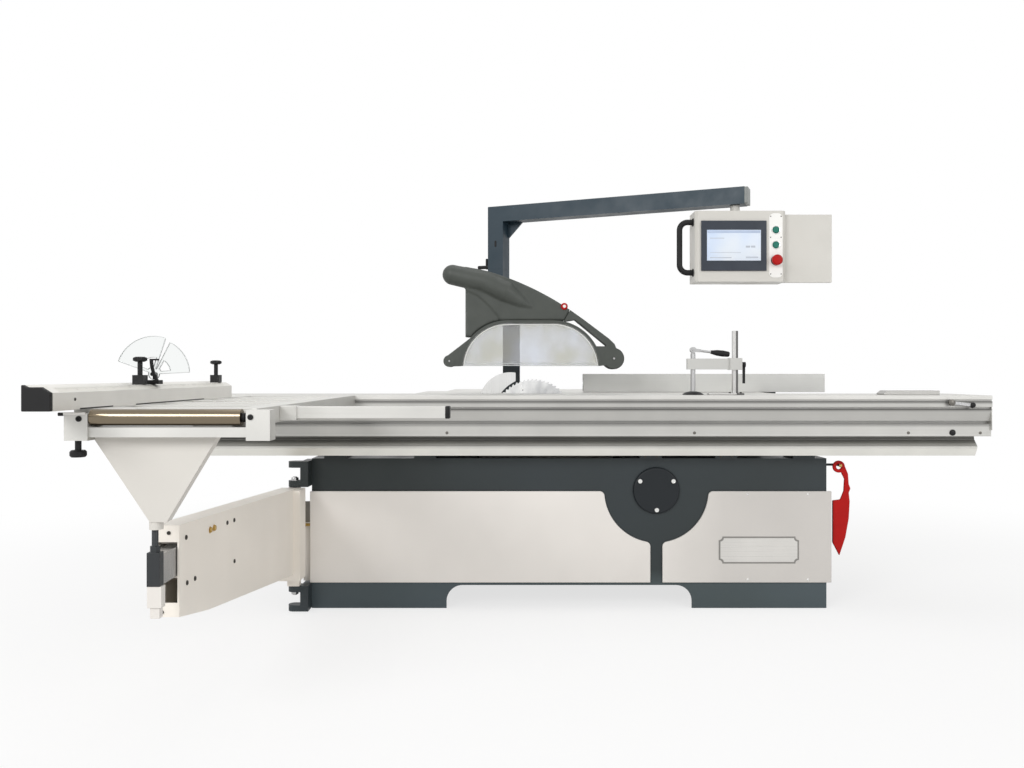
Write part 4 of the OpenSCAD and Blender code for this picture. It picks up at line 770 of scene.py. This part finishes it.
def edge_beads(name, node, r, mat, body):
    """Thin bead along the sharp edges of a clear sheet, where such plastic catches the light."""
    src = bmesh.new()
    src.from_mesh(nodes[node].data)
    bmesh.ops.remove_doubles(src, verts=src.verts, dist=WELD_GAP)
    src.edges.index_update()
    left = {e.index: e for e in src.edges if len(e.link_faces) == 2 and e.calc_face_angle(0) > 1
            and abs(e.verts[0].co.y - e.verts[1].co.y) < 0.0002}
    bm = bmesh.new()
    while left:
        chain = list(left.popitem()[1].verts)
        for _ in range(2):
            while ahead := [e for e in chain[-1].link_edges if e.index in left]:
                chain.append(left.pop(ahead[0].index).other_vert(chain[-1]))
            chain.reverse()
        bead(bm, [v.co.copy() for v in chain], r, 6)
    src.free()
    piece(name, bm, mat, body)


edge_beads("flag_edges", "clear_flags", 0.9, flag_edge, "flags")

# Panel
panel_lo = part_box("panel_box")[0]
face_y = panel_lo.y / MM - FRONT / MM
px0, pz0 = panel_lo.x / MM, panel_lo.z / MM
bx = px0 + 338                    # middle of the buttons
plate_y = face_y - 1.4            # face of the plate round them
glass_y = face_y - 7.1            # face of the screen that the marks stand on
cut_plate("button_plate", [round_rect(56, 270, 20), circle(0, 65, 15), circle(0, 2, 15), circle(0, -63, 13)], 1.4,
          facing(at(bx, face_y, pz0 + 152), FACE), label_white, "panel")
row("button_plate_screws", [at(bx + dx, plate_y, pz0 + dz) for dx in (-22, 22) for dz in (32, 186, 274)], FACE,
    pan_screw(2.6, 1.2), dark_screw, "panel", 12)
ring = [(14.6, 0), (14.6, 3), (16, 3.6), (18.4, 3), (19.4, 0)]
row("button_rings", [at(bx, plate_y, pz0 + dz) for dz in (154, 217)], FACE, ring, chrome_w, "panel", 40)
row("stop_ring", [at(bx, plate_y, pz0 + 89)], FACE, [(11.8, 0), (11.8, 4.5), (15, 4.5), (20, 2.5), (21, 0)], black,
    "panel", 40)
row("handle_flanges", [at(px0, face_y + 45, pz0 + dz) for dz in (42, 256)], LEFT,
    [(12, 5), (15, 4), (17, 2), (17.5, -0.2)], black, "panel", 32)
slabs("screen_glass", [(at(px0 + 47.5, face_y - 7.2, pz0 + 87.5), at(px0 + 273.5, face_y - 5.8, pz0 + 216.5))], 0.4,
      glass, "panel")


def on_screen(name, marks, mat):
    """Flat marks on the glass, each as (x0, x1, z0, z1) in mm from the panel's lower left corner."""
    boxes = [(at(px0 + x0, glass_y - 0.2, pz0 + z0), at(px0 + x1, glass_y, pz0 + z1)) for x0, x1, z0, z1 in marks]
    slabs(name, boxes, 0.05, mat, "panel")


on_screen("screen_header", [(50, 271, 203, 214)], screen_bar)
on_screen("screen_marks", [(210, 228, 142, 150), (232, 250, 142, 150), (60, 150, 98, 102), (60, 190, 120, 122),
                           (210, 262, 98, 104), (60, 120, 180, 183)], screen_mark)

# Boom
BOOM_TURN = -23.4
boom = Matrix.Translation(at(-386, 720, 0)) @ Matrix.Rotation(math.radians(BOOM_TURN), 4, "Z")
cut_plate("boom_end_cap", [round_rect(77, 72, 6)], 14, boom @ facing(Vector((1.161, 0, 1.7275)), RIGHT), cap_grey,
          "control_arm", 0.8)
cut_plate("pillar_slot", [round_rect(10, 30, 4.9)], 1, boom @ facing(Vector((0.001, -0.039, 1.586)), FACE), black,
          "control_arm", 0.4)
bm = bmesh.new()
lathe(bm, [(0, -99.5), (6, -99.5), (8.6, -97), (8.6, -38.8), (0, -38.8)],
      boom @ facing(Vector((0, -0.018, 1.479)), RIGHT))
lathe(bm, [(0, 3.5), (5, 3.5), (7, 6), (7, 50), (5.5, 54.6), (0, 54.8)],
      boom @ Matrix.Translation((-0.053, -0.018, 1.465)))
piece("clamp_handle_sleeve", bm, black, "control_arm")


# Scales

TICK_STEP = 10


def scale(name, start, along, across, normal, length, width, body):
    """Pale tape with a tick every 10 mm and longer ones every 50 and 100 mm."""
    place = Matrix.Identity(4)
    for i, v in enumerate((along, across, normal)):
        place.col[i][:3] = Vector(v).normalized()
    place.translation = start
    bm = bmesh.new()
    slab(bm, (0, 0, -0.0001), (length * MM, width * MM, 0.0003), 0.1)
    bm.transform(place)
    piece(name + "_tape", bm, tape, body, False)
    bm = bmesh.new()
    for i in range(1, int(length / TICK_STEP)):
        reach = 0.75 if i % 10 == 0 else 0.55 if i % 5 == 0 else 0.35
        half = 0.6 if i % 10 == 0 else 0.4
        lo = Vector((i * TICK_STEP - half, 0.6, 0.3)) * MM
        hi = Vector((i * TICK_STEP + half, width * reach, 0.36)) * MM
        made = bmesh.ops.create_cube(bm, size=1)["verts"]
        for v in made:
            v.co = Vector(c * s for c, s in zip(v.co, hi - lo)) + (lo + hi) / 2
    bm.transform(place)
    piece(name + "_ticks", bm, ink, body, False)


AWAY = Vector((0, 1, 0))
slope = Vector((21, 0, -13)).normalized()    # down the fence's chamfer
scale("fence_scale", at(-1378.6, -1530, 933.2), AWAY, slope, slope.cross(AWAY), 1200, 17, "mitre_fence")
scale("rip_scale", at(846, 420, 880), AWAY, LEFT, UP, 1160, 16, "base")


# Floor, backdrop and light

def seen_directly(tree):
    """1 for camera, glossy and transmission rays, which see the white backdrop itself, and 0 for the rest."""
    path = tree.nodes.new("ShaderNodeLightPath")
    seen = path.outputs["Is Camera Ray"]
    for kind in ("Is Glossy Ray", "Is Transmission Ray"):
        both = tree.nodes.new("ShaderNodeMath")
        both.operation = "MAXIMUM"
        tree.links.new(seen, both.inputs[0])
        tree.links.new(path.outputs[kind], both.inputs[1])
        seen = both.outputs[0]
    return path, seen


def floor():
    """White floor that keeps the object's shadow: the white share rises with the distance from the object."""
    bm = bmesh.new()
    bmesh.ops.create_grid(bm, x_segments=1, y_segments=1, size=60)
    me = bpy.data.meshes.new("floor")
    bm.to_mesh(me)
    bm.free()
    ob = bpy.data.objects.new("floor", me)
    bpy.context.scene.collection.objects.link(ob)
    m = bpy.data.materials.new("floor")
    m.use_nodes = True
    t = m.node_tree
    t.nodes.clear()
    path, seen = seen_directly(t)
    out = t.nodes.new("ShaderNodeOutputMaterial")
    diff = t.nodes.new("ShaderNodeBsdfDiffuse")
    tone = t.nodes.new("ShaderNodeMix")
    tone.data_type = "RGBA"
    tone.inputs["A"].default_value = (0.78, 0.77, 0.755, 1)
    tone.inputs["B"].default_value = (0.92, 0.92, 0.92, 1)
    t.links.new(path.outputs["Is Camera Ray"], tone.inputs["Factor"])
    t.links.new(tone.outputs["Result"], diff.inputs["Color"])
    white = t.nodes.new("ShaderNodeEmission")
    white.inputs["Color"].default_value = (1, 1, 1, 1)
    where = t.nodes.new("ShaderNodeTexCoord")
    far = t.nodes.new("ShaderNodeVectorMath")
    far.operation = "LENGTH"
    t.links.new(where.outputs["Object"], far.inputs[0])
    fade = t.nodes.new("ShaderNodeMapRange")
    fade.interpolation_type = "SMOOTHSTEP"
    for key, value in (("From Min", 1.4), ("From Max", 4.5), ("To Min", 0.72), ("To Max", 1.0)):
        fade.inputs[key].default_value = value
    t.links.new(far.outputs["Value"], fade.inputs["Value"])
    share = t.nodes.new("ShaderNodeMath")
    share.operation = "MULTIPLY"
    t.links.new(seen, share.inputs[0])
    t.links.new(fade.outputs["Result"], share.inputs[1])
    mix = t.nodes.new("ShaderNodeMixShader")
    t.links.new(share.outputs[0], mix.inputs["Fac"])
    t.links.new(diff.outputs[0], mix.inputs[1])
    t.links.new(white.outputs[0], mix.inputs[2])
    t.links.new(mix.outputs[0], out.inputs["Surface"])
    me.materials.append(m)


def studio():
    """Soft world light, white where it is seen."""
    world = bpy.data.worlds.new("studio")
    bpy.context.scene.world = world
    world.use_nodes = True
    t = world.node_tree
    t.nodes.clear()
    seen = seen_directly(t)[1]
    out = t.nodes.new("ShaderNodeOutputWorld")
    soft = t.nodes.new("ShaderNodeBackground")
    soft.inputs["Color"].default_value = (1.0, 0.99, 0.98, 1)
    soft.inputs["Strength"].default_value = 0.56
    white = t.nodes.new("ShaderNodeBackground")
    white.inputs["Color"].default_value = (1, 1, 1, 1)
    mix = t.nodes.new("ShaderNodeMixShader")
    t.links.new(seen, mix.inputs["Fac"])
    t.links.new(soft.outputs[0], mix.inputs[1])
    t.links.new(white.outputs[0], mix.inputs[2])
    t.links.new(mix.outputs[0], out.inputs["Surface"])


def area(name, loc, target, size, power):
    """Rectangular lamp of power watts at loc, turned to target."""
    light = bpy.data.lights.new(name, "AREA")
    light.shape = "RECTANGLE"
    light.size, light.size_y = size
    light.energy = power
    ob = bpy.data.objects.new(name, light)
    bpy.context.scene.collection.objects.link(ob)
    ob.location = loc
    ob.rotation_mode = "QUATERNION"
    ob.rotation_quaternion = (Vector(target) - Vector(loc)).to_track_quat("-Z", "Y")


floor()
studio()
area("key", (-3.4, -5.3, 3.5), (0, 0, 0.7), (3.0, 2.0), 168)
area("fill", (3.6, -4.6, 2.6), (0.2, 0, 0.8), (2.4, 2.4), 66)
area("top", (0, 0.4, 5.2), (0, 0, 0.8), (5.0, 3.0), 44)


# Camera, as the photo's perspective gives it, with pixels of the photo and metres

PHOTO_W = 1024
FOCAL_PX = 900
HORIZON_UP_PX = 9.5    # the horizon's height over the middle of the picture
CAM_X, CAM_BACK, CAM_Z = -0.322, 3.6, 0.964

cam = bpy.data.cameras.new("camera")
cam.sensor_width = 36
cam.lens = FOCAL_PX / PHOTO_W * cam.sensor_width
cam.shift_y = -HORIZON_UP_PX / PHOTO_W
cam.clip_end = 200
cam_ob = bpy.data.objects.new("camera", cam)
bpy.context.scene.collection.objects.link(cam_ob)
cam_ob.location = (CAM_X, FRONT - CAM_BACK, CAM_Z)
cam_ob.rotation_euler = (math.radians(90), 0, 0)
bpy.context.scene.camera = cam_ob
bpy.context.scene.view_settings.view_transform = "Standard"
